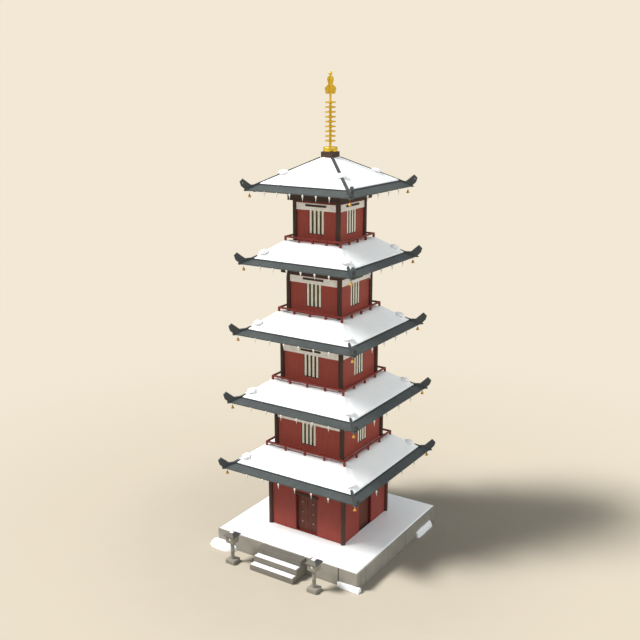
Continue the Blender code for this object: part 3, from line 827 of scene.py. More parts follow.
@dataclass(frozen=True)
class Storey:
    """Main lines of one storey and of the roof over it, read from the solid model."""

    number: int
    wall_half: float
    floor: float
    wall_top: float
    eave_half: float
    eave_foot: float

    # How far a roof's corner tips reach past its eave, along X or Y, and their noses below it
    TIP_REACH = 0.17 + 0.065 / DIAGONAL
    NOSE_DROP = 0.01
    # Slope of the underside of every eave, and the bracket course's distance inside the eave
    SOFFIT_SLOPE = 0.20
    EAVE_TO_BRACKET = 1.372
    RED_STRIP = 0.096

    @classmethod
    def read(cls, number: int) -> "Storey":
        """Read one storey's lines.

        Args:
            number: 1 for the ground storey.

        Returns:
            The storey's lines.
        """
        low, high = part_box("ground_wall_front_left" if number == 1 else f"storey_{number}_walls")
        eave_low, eave_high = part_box(f"roof_{number}")
        return cls(
            number=number,
            wall_half=-low.y,
            floor=low.z,
            wall_top=high.z,
            eave_half=eave_high.x - cls.TIP_REACH,
            eave_foot=eave_low.z + cls.NOSE_DROP,
        )

    @property
    def label(self) -> str:
        """Start of the names of the storey's pieces."""
        return "ground" if self.number == 1 else f"storey_{self.number}"

    @property
    def ring_foot(self) -> float:
        """Height of the beam ring's underside on top of the walls."""
        if self.number == 1:
            return self.wall_top
        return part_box(f"storey_{self.number}_plaster_band")[1].z

    @property
    def bracket_half(self) -> float:
        """Half width of the bracket course."""
        return self.eave_half - self.EAVE_TO_BRACKET

    def soffit(self, half: float) -> float:
        """Height of the eave's underside at a distance from the axis."""
        return self.eave_foot + self.SOFFIT_SLOPE * (self.eave_half - half)


@dataclass
class TimberFrame:
    """Posts, beam ring, bracket course and rafters of one storey."""

    storey: Storey
    post_radius: float = 0.115
    post_sides: int = 28
    wall: float = 0.14
    edge: float = 0.008
    strip_proud: float = 0.006
    strip_clear: float = 0.002
    rafter_width: float = 0.075
    rafter_height: float = 0.085
    rafter_pitch: float = 0.30
    # How far the rafters start inside the bracket course and stop short of the eave, and their slanted end
    rafter_start: float = 0.01
    rafter_stop: float = 0.34
    rafter_slant: float = 0.05
    rafter_lift: float = 0.035
    hip_rafter_width: float = 0.12
    hip_rafter_height: float = 0.119
    # How far a hip rafter starts inside the others and reaches past them, and its slanted end
    hip_rafter_start: float = 0.05
    hip_rafter_reach: float = 0.12
    hip_rafter_slant: float = 0.06
    hip_rafter_tip: float = 0.45

    def build(self) -> None:
        """Everything that is timber in the storey's frame and under its eaves."""
        self.build_posts()
        self.build_strips()
        self.build_rafters()

    def build_posts(self) -> None:
        """Round posts with the beam ring and bracket course that they carry."""
        storey = self.storey
        piece = Workpiece(f"{storey.label}_posts_and_beams", POST_TIMBER, BEAM_TIMBER)
        ring_foot = storey.ring_foot
        bracket_foot = ring_foot + storey.RED_STRIP
        line = storey.wall_half
        edge = self.edge
        post = (
            (self.post_radius - edge, storey.floor),
            (self.post_radius, storey.floor + edge),
            (self.post_radius, bracket_foot),
        )
        for sx, sy in CORNERS:
            piece.turned((sx * line, sy * line), post, self.post_sides)
        inner = line - self.wall
        outer = storey.bracket_half
        ring = ((inner, ring_foot), (line, ring_foot), (line, bracket_foot), (inner, bracket_foot))
        course = (
            (inner, bracket_foot),
            (outer - edge, bracket_foot),
            (outer, bracket_foot + edge),
            (outer, storey.soffit(outer) - edge),
            (outer - edge, storey.soffit(outer - edge)),
            (inner, storey.soffit(inner)),
        )
        piece.square_tube(ring, 1)
        piece.square_tube(course, 1)
        piece.done(replaces=(f"{storey.label}_frame",))

    def build_strips(self) -> None:
        """Thin red boards over the beam ring, between the posts."""
        storey = self.storey
        piece = Workpiece(f"{storey.label}_red_strips", BRIGHT_RED)
        reach = storey.wall_half - self.post_radius
        out = (storey.wall_half, storey.wall_half + self.strip_proud)
        foot = storey.ring_foot
        up = (foot + self.strip_clear, foot + storey.RED_STRIP - self.strip_clear)
        for side in Side:
            piece.side_box(side, (-reach, reach), out, up, self.strip_clear)
        piece.done()

    def build_rafters(self) -> None:
        """Rafters under the eaves, and a hip rafter to each corner."""
        storey = self.storey
        piece = Workpiece(f"{storey.label}_rafters", BEAM_TIMBER)
        inner = storey.bracket_half - self.rafter_start
        outer = storey.eave_half - self.rafter_stop
        count = int(outer / self.rafter_pitch)
        for side in Side:
            for index in range(-count, count + 1):
                along = index * self.rafter_pitch
                start = max(inner, abs(along) + self.hip_rafter_width)
                if start > outer - self.rafter_width:
                    continue
                self.add_rafter(piece, side, along, start, outer)
        first = inner - self.hip_rafter_start
        last = outer + self.hip_rafter_reach
        slant = last - self.hip_rafter_slant
        outline = (
            (first, storey.soffit(first)),
            (first, storey.soffit(first) - self.hip_rafter_height),
            (slant, storey.soffit(slant) - self.hip_rafter_height),
            (last, storey.soffit(last) - self.hip_rafter_height * self.hip_rafter_tip),
            (last, storey.soffit(last)),
        )
        for corner in CORNERS:
            piece.diagonal_slab(corner, outline, self.hip_rafter_width)
        piece.done()

    def add_rafter(self, piece: Workpiece, side: Side, along: float, start: float, end: float) -> None:
        """Add one rafter that follows the eave's underside, with a slanted end."""
        half = self.rafter_width / 2
        storey = self.storey
        rings = []
        for out, lift in ((start, 0.0), (end - self.rafter_slant, 0.0), (end, self.rafter_lift)):
            top = storey.soffit(out)
            low = top - self.rafter_height + lift
            section = ((-half, top), (half, top), (half, low), (-half, low))
            rings.append([side.place(along + shift, out, up) for shift, up in section])
        piece.loft(rings)


@dataclass
class Windows:
    """Barred windows and the bar on the plaster band, on the four sides of an upper storey."""

    storey: Storey
    half: float = 0.41
    sill: float = 0.448
    bar_width: float = 0.112
    bar_pitch: float = 0.218
    bar_depth: float = 0.018
    bar_setback: float = 0.012
    frame_width: float = 0.022
    frame_depth: float = 0.10
    back_setback: float = 0.075
    back_thickness: float = 0.03
    edge: float = 0.006
    rail_half: float = 0.555
    rail_height: float = 0.094
    rail_middle: float = 1.75
    rail_proud: float = 0.035
    bars: int = 4
    clear: float = 0.002
    frame_edge: float = 0.003
    rail_edge: float = 0.010

    def build(self) -> None:
        """Bars, boards behind them, frames, and the bar on the plaster band."""
        storey = self.storey
        low = storey.floor + self.sill
        high = storey.wall_top
        face = storey.wall_half
        bars = Workpiece(f"{storey.label}_window_bars", BAR_PAINT)
        backs = Workpiece(f"{storey.label}_window_backs", WINDOW_BACK)
        frames = Workpiece(f"{storey.label}_window_frames", BEAM_TIMBER)
        rails = Workpiece(f"{storey.label}_band_bars", BEAM_TIMBER)
        clear = self.clear
        for side in Side:
            for index in range(self.bars):
                middle = (index - (self.bars - 1) / 2) * self.bar_pitch
                along = (middle - self.bar_width / 2, middle + self.bar_width / 2)
                out = (face - self.bar_setback - self.bar_depth, face - self.bar_setback)
                bars.side_box(side, along, out, (low + self.frame_width, high - clear), self.edge)
            out = (face - self.back_setback - self.back_thickness, face - self.back_setback)
            inside = self.half - self.frame_width
            backs.side_box(side, (-inside, inside), out, (low + self.frame_width, high - clear))
            depth = (face - self.frame_depth, face - self.bar_setback / 2)
            for hand in (-1, 1):
                along = sorted((hand * inside, hand * (self.half - clear)))
                frames.side_box(side, along, depth, (low + clear, high - clear), self.frame_edge)
            across = (-inside + TOLERANCE, inside - TOLERANCE)
            up = (low + clear, low + self.frame_width)
            frames.side_box(side, across, depth, up, self.frame_edge)
            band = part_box(f"{storey.label}_plaster_band")[1].x
            middle = storey.floor + self.rail_middle
            up = (middle - self.rail_height / 2, middle + self.rail_height / 2)
            along = (-self.rail_half, self.rail_half)
            rails.side_box(side, along, (band, band + self.rail_proud), up, self.rail_edge)
        for piece in (bars, backs, frames, rails):
            piece.done()


@dataclass
class UpperStorey:
    """One of the four upper storeys."""

    storey: Storey

    def build(self) -> None:
        """Dress the walls, band and railing, and add the frame and the windows."""
        label = self.storey.label
        dress(f"{label}_walls", WALL_RED)
        dress(f"{label}_plaster_band", BAND_PLASTER)
        dress(f"{label}_railing", RAILING_RED)
        TimberFrame(self.storey).build()
        Windows(self.storey).build()


@dataclass
class GroundStorey:
    """Ground storey with the double door in front and a boarded panel in each other side."""

    storey: Storey
    wall: float = 0.20
    panel_half: float = 0.594
    door_height: float = 2.0
    lintel_half: float = 0.676
    lintel_height: float = 0.105
    lintel_proud: float = 0.05
    lintel_edge: float = 0.006
    lining: float = 0.028
    lining_setback: float = 0.004
    panel_setback: float = 0.15
    sill_half: float = 0.584
    clear: float = 0.002
    trim_edge: float = 0.003
    foot_height: float = 0.045
    foot_proud: float = 0.014
    foot_gap: float = 0.045
    stud_x: float = 0.31
    stud_heights: tuple[float, ...] = (0.53, 1.04, 1.57)
    stud_profile: Outline = (
        (0.034, 0.0), (0.034, 0.003), (0.028, 0.006), (0.025, 0.013), (0.016, 0.020), (0.004, 0.023),
    )

    def build(self) -> None:
        """Dress the walls and doors and add their trim."""
        for part in ("front_left", "front_right", "front_over", "back", "left", "right"):
            dress(f"ground_wall_{part}", SHADED_GROUND_RED)
        for part in ("back", "left", "right"):
            dress(f"ground_panel_{part}", DOOR_BOARDS)
        dress("ground_floor", BEAM_TIMBER)
        self.dress_doors()
        TimberFrame(self.storey, wall=self.wall).build()
        self.build_panel_trim()
        self.build_foot_strips()
        self.build_studs()

    def dress_doors(self) -> None:
        """Brown leaves in a frame with deep red jambs, a red sill and a dark lintel."""
        head = self.storey.floor + self.door_height

        def pick(middle: Vector) -> int:
            """Dark lintel above the head, bright red sill at the foot, deep red jambs between."""
            if middle.z > head - TOLERANCE:
                return 0
            return 2 if abs(middle.x) < self.sill_half else 1

        dress("door_frame", BEAM_TIMBER, DEEP_RED, FOOT_RED, pick=pick)
        dress("door_leaf_left", DOOR_BOARDS)
        dress("door_leaf_right", DOOR_BOARDS)

    def build_panel_trim(self) -> None:
        """Lining and lintel round the boarded panels."""
        storey = self.storey
        face = storey.wall_half
        head = storey.floor + self.door_height
        trim = Workpiece("ground_panel_trim", BEAM_TIMBER, DEEP_RED)
        depth = (face - self.panel_setback + TOLERANCE, face - self.lining_setback)
        up = (storey.floor + self.clear, head - self.clear)
        proud = (face + HAIRLINE, face + self.lintel_proud)
        for side in (Side.RIGHT, Side.BACK, Side.LEFT):
            for hand in (-1, 1):
                ends = (self.panel_half - self.lining, self.panel_half - TOLERANCE)
                trim.side_box(side, sorted(hand * end for end in ends), depth, up, self.trim_edge, 1)
            lintel = (-self.lintel_half, self.lintel_half)
            trim.side_box(side, lintel, proud, (head, head + self.lintel_height), self.lintel_edge)
        trim.done()

    def build_foot_strips(self) -> None:
        """Thin bright red board along the foot of the walls, between the posts."""
        storey = self.storey
        piece = Workpiece("ground_foot_boards", FOOT_RED)
        reach = storey.wall_half - TimberFrame.post_radius
        gap = self.panel_half + self.foot_gap
        out = (storey.wall_half + HAIRLINE, storey.wall_half + self.foot_proud)
        up = (storey.floor + TOLERANCE, storey.floor + self.foot_height)
        for side in Side:
            for hand in (-1, 1):
                piece.side_box(side, sorted((hand * gap, hand * reach)), out, up, self.trim_edge)
        piece.done()

    def build_studs(self) -> None:
        """Three domed studs on each door leaf, which turn with it."""
        for hand, name, body in ((-1, "left", LEFT_DOOR), (1, "right", RIGHT_DOOR)):
            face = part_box(f"door_leaf_{name}")[0].y
            piece = Workpiece(f"door_studs_{name}", PALE_STUDS)
            for height in self.stud_heights:
                middle = Vector((hand * self.stud_x, face, self.storey.floor + height))
                piece.boss(middle, Side.FRONT.place(0.0, 1.0, 0.0), self.stud_profile)
            piece.done(body)


@dataclass
class Roof:
    """One hipped roof: its tiles, its snow, and what hangs from its eaves."""

    storey: Storey
    # Plan half width and height of the roof's top edge
    top_half: float
    top: float
    # Plan half width at which the snow ends against the wall or the block above
    snow_inner: float
    curve: float = 1.3
    edge: float = 0.05
    snow_line: float = 0.43
    breaks: tuple[float, ...] = (0.54, 0.77)
    hip_length: float = 0.60
    hip_clear: float = 0.055
    hip_half: float = 0.068
    # Undersides of the corner pieces: half width, reach inside the eave, and height over its foot
    underside_half: float = 0.055
    underside_reach: float = 0.02
    underside_top: float = 0.21
    thickness: float = 0.052
    edge_radius: float = 0.065
    # Rounding of the near hip, and how far from the hip bar it comes to its full size, and of the others
    hip_blend: float = 0.55
    hip_ease: float = 0.45
    crisp_blend: float = 0.02
    top_blend: float = 0.06
    # Crest of snow along the other hips, and rim along the left eave: height and reach
    crest: float = 0.045
    crest_reach: float = 0.30
    rim: float = 0.075
    rim_reach: float = 0.60
    # Slow and fine lumps: how often they repeat, their share of the height, and what picks them
    lump: float = 0.012
    lumps: tuple[Point, ...] = ((0.9, 1.0, 3.7), (3.1, 0.3, 1.9))
    # Least thickness, at the edge and elsewhere, and the spacing of the net
    least: Span = (0.002, 0.015)
    snow_step: float = 0.085
    snow_columns: int = 44
    # How fast the snow draws back from the hip bar's inner end, and the corner's share of a short row
    gap_slope: float = 2.0
    edge_share: float = 0.25
    shadow_batten_width: float = 0.045
    shadow_batten_height: float = 0.030
    shadow_batten_gap: float = 0.004
    clump_inset: float = 0.82
    top_clump_half: float = 1.542
    clump_lift: float = 0.075
    clump_lean: float = 0.45
    clump_step: float = 0.1
    clump_seeds: Span = (3.1, 1.7)
    clump_halves: Point = (0.24, 0.27, 0.100)
    # How many icicles hang along each side, and their pitch as a share of the eave's half width
    front_icicles: tuple[int, float] = (6, 0.245)
    flank_icicles: tuple[int, float] = (4, 0.340)
    icicle_out: float = 0.010
    icicle_sides: int = 10
    icicle_seed: int = 40
    icicle_stretch: Span = (0.88, 1.04)
    icicle_lean: float = 0.03
    icicle_outline: Outline = (
        (0.003, -0.27), (0.008, -0.22), (0.016, -0.15), (0.028, -0.09), (0.041, -0.045), (0.043, -0.015),
        (0.032, 0.010), (0.012, 0.025),
    )
    bell_inset: float = 0.137
    bell_middle: float = -0.225
    bell_sides: int = 20
    rod_radius: float = 0.007
    rod_foot: float = 0.07
    rod_seat: float = 0.004
    rod_sides: int = 8
    clapper_outline: Outline = ((0.008, -0.092), (0.020, -0.082), (0.020, -0.066))
    clapper_sides: int = 10
    boss_outline: Outline = ((0.025, 0.063), (0.025, 0.068), (0.015, 0.074), (0.004, 0.077))
    boss_reach: float = 0.075
    boss_height: float = 0.36
    boss_sides: int = 16
    bell_outline: Outline = (
        (0.064, -0.068), (0.080, -0.072), (0.078, -0.056), (0.058, -0.020), (0.044, 0.025), (0.030, 0.055),
        (0.014, 0.066), (0.010, 0.080),
    )

    @property
    def label(self) -> str:
        """Start of the names of the roof's pieces."""
        return f"roof_{self.storey.number}"

    @property
    def is_top(self) -> bool:
        """Whether this is the highest roof."""
        return self.storey.number == STOREYS

    def share(self, half: float) -> float:
        """Share of the way up the slope at a distance from the axis."""
        return (self.storey.eave_half - half) / (self.storey.eave_half - self.top_half)

    def curve_height(self, half: float) -> float:
        """Height of the roof's smooth slope, run on past its top edge."""
        foot = self.storey.eave_foot + self.edge
        return foot + (self.top - foot) * max(0.0, self.share(half)) ** self.curve

    def tile_height(self, half: float) -> float:
        """Height of the solid roof, which is flat between the breaks in its slope."""
        span = self.storey.eave_half - self.top_half
        stops = (0.0, self.snow_line / span, *self.breaks, 1.0)
        share = self.share(half)
        for low, high in zip(stops, stops[1:]):
            if share <= high:
                part = (share - low) / (high - low)
                first = self.curve_height(self.storey.eave_half - span * low)
                second = self.curve_height(self.storey.eave_half - span * high)
                return first + (second - first) * part
        return self.top

    def bar_end(self) -> float:
        """Plan half width at which the corner's hip bar ends on the slope."""
        return 0.0 if self.is_top else self.storey.eave_half - self.hip_length

    def bar_distance(self, x: float, y: float) -> float:
        """Plan distance from the nearest hip bar."""
        across = abs(abs(x) - abs(y)) / DIAGONAL
        along = (abs(x) + abs(y)) / DIAGONAL
        aside = max(0.0, across - self.hip_clear)
        short = max(0.0, self.bar_end() * DIAGONAL - along)
        return math.hypot(aside, short)

    def snow_surface(self, x: float, y: float) -> Span:
        """Top and underside of the snow at a plan point.

        The wind has rounded the near hip and piled a low crest on the other three, and along the left eave.
        """
        half = max(abs(x), abs(y))
        line = self.storey.eave_half - self.snow_line
        bar = self.bar_distance(x, y)
        free = min(bar, line - half)
        blend = self.crisp_blend
        crest = 0.0
        if x > 0.0 > y:
            blend = max(blend, min(half, self.hip_blend) * smooth_step(bar, 0.0, self.hip_ease))
        else:
            across = abs(abs(x) - abs(y))
            crest = self.crest * (1.0 - smooth_step(across, 0.0, self.crest_reach))
            if x < -abs(y):
                edge = smooth_step(half, line - self.rim_reach, line - self.edge_radius)
                crest += self.rim * edge * smooth_step(across, 0.0, self.crest_reach)
        rounded = soft_high(abs(x), abs(y), blend)
        top = soft_low(self.curve_height(rounded), self.top, self.top_blend)
        lumps = sum(
            share * noise.noise(Vector((x * scale, y * scale, self.storey.number * seed)))
            for scale, share, seed in self.lumps
        )
        cover = rounded_edge(free, self.edge_radius)
        top += (self.thickness + crest + self.lump * lumps) * cover
        underside = self.tile_height(half) + TOLERANCE
        return max(top, underside + self.least[0] + self.least[1] * cover), underside

    def corner_gap(self, half: float) -> float:
        """How far a row of snow stays short of the corner, to clear the hip bar."""
        return min(max(0.0, self.gap_slope * (half - self.bar_end())), self.hip_clear * DIAGONAL)

    def build_snow(self) -> None:
        """Sheet of snow on the slopes, parted at the hip bars, and flat snow in to the wall above."""
        piece = Workpiece(f"{self.label}_snow_sheet", FRESH_SNOW)
        line = self.storey.eave_half - self.snow_line
        net = SheetNet(piece, self.snow_surface)
        steps = clustered(line - self.snow_inner, EDGE_STEPS, self.snow_step)
        halves = [self.snow_inner + step for step in steps]
        columns = self.snow_columns
        for side in Side:
            rows = []
            for half in halves:
                reach = half - self.corner_gap(half)
                near = [min(reach * self.edge_share, d) for d in EDGE_STEPS]
                inner = reach - near[-1]
                middle = [inner * (2 * i / columns - 1) for i in range(1, columns)]
                stops = [-(reach - d) for d in near] + middle + [reach - d for d in reversed(near)]
                rows.append([tuple(side.place(along, half, 0.0).xy) for along in stops])
            net.grid(rows)
        net.close()
        piece.done(replaces=(f"{self.label}_snow",))

    def build_clumps(self) -> None:
        """Lump of snow on each hip, just above the corner."""
        piece = Workpiece(f"{self.label}_snow_clumps", FRESH_SNOW)
        half = self.top_clump_half if self.is_top else self.storey.eave_half - self.clump_inset
        height = self.tile_height(half) + self.clump_lift
        step = self.clump_step
        rise = self.tile_height(half - step) - self.tile_height(half + step)
        slope = math.atan2(rise, 2 * step * DIAGONAL)
        lean = Matrix.Rotation(self.clump_lean * slope, 3, "Y")
        by_roof, by_corner = self.clump_seeds
        for index, (sx, sy) in enumerate(CORNERS):
            turn = Matrix.Rotation(math.atan2(sy, sx), 3, "Z") @ lean
            seed = by_roof * self.storey.number + by_corner * index
            piece.mound((sx * half, sy * half, height), self.clump_halves, seed, turn=turn)
        piece.done()

    def build_shadow_battens(self) -> None:
        """Dark batten along the lower edge of the snow, which paints the thin shadow under the snow's edge.
        """
        piece = Workpiece(f"{self.label}_snow_shadow_batten", SHADOW_BATTEN_TILES)
        inner = self.storey.eave_half - self.snow_line + self.shadow_batten_gap
        outer = inner + self.shadow_batten_width
        low, high = self.tile_height(outer), self.tile_height(inner)
        piece.square_tube((
            (inner, high + HAIRLINE),
            (outer, low + HAIRLINE),
            (outer, low + self.shadow_batten_height),
            (inner, high + self.shadow_batten_height),
        ))
        piece.done()

    def build_icicles(self) -> None:
        """Icicles along the lower edge of the eaves."""
        chance = random.Random(self.icicle_seed + self.storey.number)
        tilt = self.icicle_lean
        piece = Workpiece(f"{self.label}_icicles", MILKY_ICE)
        out = self.storey.eave_half + self.icicle_out
        level = self.storey.eave_foot
        for side in Side:
            count, pitch = self.front_icicles if side in (Side.FRONT, Side.BACK) else self.flank_icicles
            for index in range(count):
                place = (index - (count - 1) / 2) * pitch * self.storey.eave_half
                stretch = chance.uniform(*self.icicle_stretch)
                outline = [(r, level + z * (stretch if z < 0 else 1.0)) for r, z in self.icicle_outline]
                lean = (chance.uniform(-tilt, tilt), chance.uniform(-tilt, tilt))
                piece.turned(side.place(place, out, 0.0).xy, outline, self.icicle_sides, lean)
        piece.done()

    def build_bells(self) -> None:
        """Gilt bell on a rod under each corner of the eaves, with its clapper just below the rim."""
        piece = Workpiece(f"{self.label}_bells", BELL_GILT)
        half = self.storey.eave_half - self.bell_inset
        middle = self.storey.eave_foot + self.bell_middle
        rod_top = self.storey.soffit(half) + self.rod_seat
        rod = ((self.rod_radius, middle + self.rod_foot), (self.rod_radius, rod_top))
        for sx, sy in CORNERS:
            centre = (sx * half, sy * half)
            piece.turned(centre, raised(self.bell_outline, middle), self.bell_sides)
            piece.turned(centre, rod, self.rod_sides)
            piece.turned(centre, raised(self.clapper_outline, middle), self.clapper_sides)
        piece.done()

    def build(self) -> None:
        """Dress the tiles, and add the snow and what hangs from the eaves or sits on the tips."""

        def pick(middle: Vector) -> int:
            """Darker corner pieces as painted shade, with paler undersides as painted light over their shade,
            and plain tiles elsewhere.
            """
            across = abs(abs(middle.x) - abs(middle.y)) / DIAGONAL
            out = max(abs(middle.x), abs(middle.y)) - self.storey.eave_half
            up = middle.z - self.storey.eave_foot
            if across < self.underside_half and out > -self.underside_reach and up < self.underside_top:
                return 2
            return 1 if across < self.hip_half else 0

        dress(self.label, ROOF_TILES, SHADED_CORNER_TILES, LIT_UNDERSIDE_TILES, pick=pick)
        self.build_snow()
        self.build_shadow_battens()
        self.build_clumps()
        self.build_icicles()
        self.build_bells()
        if self.is_top:
            self.build_tip_bosses()

    def build_tip_bosses(self) -> None:
        """Small pale boss on both faces of each corner tip."""
        piece = Workpiece(f"{self.label}_tip_bosses", PALE_STUDS)
        reach = self.storey.eave_half + self.boss_reach
        for sx, sy in CORNERS:
            centre = Vector((sx * reach, sy * reach, self.storey.eave_foot + self.boss_height))
            across = Vector((-sy, sx, 0.0)).normalized()
            for hand in (-1, 1):
                piece.boss(centre, across * hand, self.boss_outline, self.boss_sides)
        piece.done()


@dataclass(frozen=True)
class DriftRidge:
    """Ridge of snow against one side: its run, depth, height, and the length of its slanted start."""

    side: Side
    along: Span
    depth: float
    height: float
    slant: float
    # Parts of the depth and the height that it starts with, and how far before its start they lie
    first_depth: float = 0.25
    first_height: float = 0.85
    lead: float = 0.1

    def size(self, reach: float) -> Span:
        """Depth and height at a distance from its start."""
        grown = smooth_step(reach, -self.lead, self.slant)
        depth = self.depth * (self.first_depth + (1.0 - self.first_depth) * grown)
        return depth, self.height * (self.first_height + (1.0 - self.first_height) * grown)


# The drifts against the platform. The left one is a mound, and the other two are ridges.
DRIFT_RIDGES = {
    "snow_drift_left": None,
    "snow_drift_near": DriftRidge(Side.FRONT, (2.97, 4.15), 0.15, 0.23, 0.32),
    "snow_drift_right": DriftRidge(Side.RIGHT, (1.90, 3.38), 0.18, 0.31, 0.10),
}


@dataclass
class Platform:
    """Stone platform, its snow, the steps and the drifts round it."""

    half: float
    top: float
    stone_depth: float = 0.34
    front_joint: float = 0.046
    flank_joint: float = 0.018
    joint_depth: float = 0.040
    edge: float = 0.010
    front_joints: tuple[float, ...] = (-3.0, -1.05, 1.05, 3.0)
    flank_joints: tuple[float, ...] = (-3.21, -1.07, 0.75, 2.90)
    snow_half: float = 3.94
    snow_thickness: float = 0.040
    snow_radius: float = 0.05
    snow_lump: float = 0.008
    snow_lump_scale: float = 0.7
    snow_seed: float = 5.3
    snow_lift: float = 0.002
    snow_step: float = 0.11
    snow_columns: int = 56
    step_names: tuple[str, ...] = ("step_lower", "step_middle", "step_upper")
    step_snow: tuple[Span, ...] = ((-5.085, -4.795), (-4.755, -4.46))
    step_edge: float = 0.014
    step_snow_inset: float = 0.04
    step_snow_thickness: float = 0.032
    # Left mound: share of the solid's size, seed, roughness and squareness
    drift_share: float = 0.97
    mound_seed: float = 11.0
    mound_rough: float = 0.05
    mound_squareness: float = 2.4
    # Section of a ridge, as shares of its depth and its height
    ridge_section: Outline = (
        (-1.0, -0.1), (1.0, -0.1), (0.96, 0.28), (0.60, 0.86), (0.15, 1.0), (-0.15, 1.0), (-0.60, 0.86),
        (-0.96, 0.28),
    )
    ridge_steps: int = 14
    ridge_rough: float = 0.06
    ridge_scale: float = 2.3
    ridge_seed: Span = (7.0, 1.0)
    # Boxes that cut the platform and the ground out of the drifts: heights, and reach and depth
    platform_cut: Span = (-1.0, 2.0)
    ground_cut: Span = (9.0, 3.0)

    @classmethod
    def read(cls) -> "Platform":
        """Read the platform's size from the solid model."""
        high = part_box("platform")[1]
        return cls(half=high.x, top=high.z)

    def build(self) -> None:
        """Facing stones, steps and every sheet of snow."""
        self.build_stones()
        self.build_snow()
        self.build_steps()
        self.build_drifts()

    def build_stones(self) -> None:
        """Facing stones with narrow joints round a darker core, whose dark colour is painted shade in the
        joints.
        """
        piece = Workpiece("platform_stones", DRESSED_STONE, PAINTED_SHADE_STONE)
        inner = self.half - self.stone_depth
        for side in Side:
            faces_front = side in (Side.FRONT, Side.BACK)
            half_joint = (self.front_joint if faces_front else self.flank_joint) / 2
            reach = self.half if faces_front else inner - half_joint
            joints = self.front_joints if faces_front else self.flank_joints
            if side is Side.LEFT:
                joints = tuple(-place for place in reversed(joints))
            stops = (-reach - half_joint, *joints, reach + half_joint)
            for start, end in zip(stops, stops[1:]):
                along = (start + half_joint, end - half_joint)
                piece.side_box(side, along, (inner, self.half), (0.0, self.top), self.edge)
        # The darker core shows through the joints as painted shade
        core = self.half - self.joint_depth
        piece.box((-core, -core, 0.0), (core, core, self.top - self.joint_depth), 0.0, 1)
        piece.done(replaces=("platform",))

    def build_snow(self) -> None:
        """Sheet of snow on the platform, in to the walls."""
        piece = Workpiece("platform_snow_sheet", FRESH_SNOW)
        inner = -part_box("ground_wall_front_left")[0].y + TOLERANCE
        outer = self.snow_half

        def surface(x: float, y: float) -> Span:
            """Top and underside of the snow at a plan point."""
            half = max(abs(x), abs(y))
            cover = rounded_edge(outer - half, self.snow_radius)
            spot = Vector((x * self.snow_lump_scale, y * self.snow_lump_scale, self.snow_seed))
            full = self.snow_thickness + self.snow_lump * noise.noise(spot)
            return self.top + self.snow_lift + full * cover, self.top + HAIRLINE

        net = SheetNet(piece, surface)
        halves = [inner + step for step in clustered(outer - inner, EDGE_STEPS, self.snow_step)]
        shares = [2 * i / self.snow_columns - 1 for i in range(self.snow_columns + 1)]
        for side in Side:
            rows = []
            for half in halves:
                stops = [half * share for share in shares]
                rows.append([tuple(side.place(along, half, 0.0).xy) for along in stops])
            net.grid(rows)
        net.close()
        piece.done(replaces=("platform_snow",))

    def build_steps(self) -> None:
        """Worn stone steps, with snow on the two lower treads."""
        for name, finish in zip(self.step_names, (STEP_STONE, STEP_STONE, TREAD_STONE)):
            low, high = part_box(name)
            piece = Workpiece(f"{name}_stone", finish)
            piece.box(low, high, self.step_edge)
            piece.done(replaces=(name,))
        snow = Workpiece("step_snow", FRESH_SNOW)
        for name, y_span in zip(self.step_names, self.step_snow):
            low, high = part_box(name)
            x_span = (low.x + self.step_snow_inset, high.x - self.step_snow_inset)
            snow_slab(snow, x_span, y_span, high.z, self.step_snow_thickness)
        snow.done()

    def build_drifts(self) -> None:
        """Mound and ridges of snow that lean against the platform."""
        wide = self.half + HAIRLINE
        deep, high = self.platform_cut
        reach, depth = self.ground_cut
        for name, ridge in DRIFT_RIDGES.items():
            piece = Workpiece(f"{name}_mound", FRESH_SNOW)
            if ridge is None:
                self.add_mound(piece, *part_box(name))
            else:
                self.add_ridge(piece, ridge)
            platform = Workpiece("platform_cut", FRESH_SNOW)
            platform.box((-wide, -wide, deep), (wide, wide, high))
            ground = Workpiece("ground_cut", FRESH_SNOW)
            ground.box((-reach, -reach, -depth), (reach, reach, 0.0))
            piece.done(replaces=(name,), cutters=(platform, ground))

    def add_ridge(self, piece: Workpiece, ridge: DriftRidge) -> None:
        """Add a bevelled ridge of snow with steep ends, which runs along one side."""
        rings = []
        for index in range(self.ridge_steps + 1):
            reach = (ridge.along[1] - ridge.along[0]) * index / self.ridge_steps
            along = ridge.along[0] + reach
            swell = 1.0 + self.ridge_rough * noise.noise(Vector((along * self.ridge_scale, *self.ridge_seed)))
            depth, height = (size * swell for size in ridge.size(reach))
            rings.append([
                ridge.side.place(along, self.half + depth * out, height * up)
                for out, up in self.ridge_section
            ])
        piece.loft(rings)

    def add_mound(self, piece: Workpiece, low: Vector, high: Vector) -> None:
        """Add the mound whose outer part shows in front of the platform.

        Args:
            piece: what it is added to.
            low: lowest corner of the solid drift.
            high: highest corner of the solid drift.
        """
        middle = ((low.x + high.x) / 2, -self.half, 0.0)
        halves = ((high.x - low.x) / 2, -low.y - self.half, high.z)
        halves = tuple(size * self.drift_share for size in halves)
        piece.mound(middle, halves, self.mound_seed, self.mound_rough, self.mound_squareness)


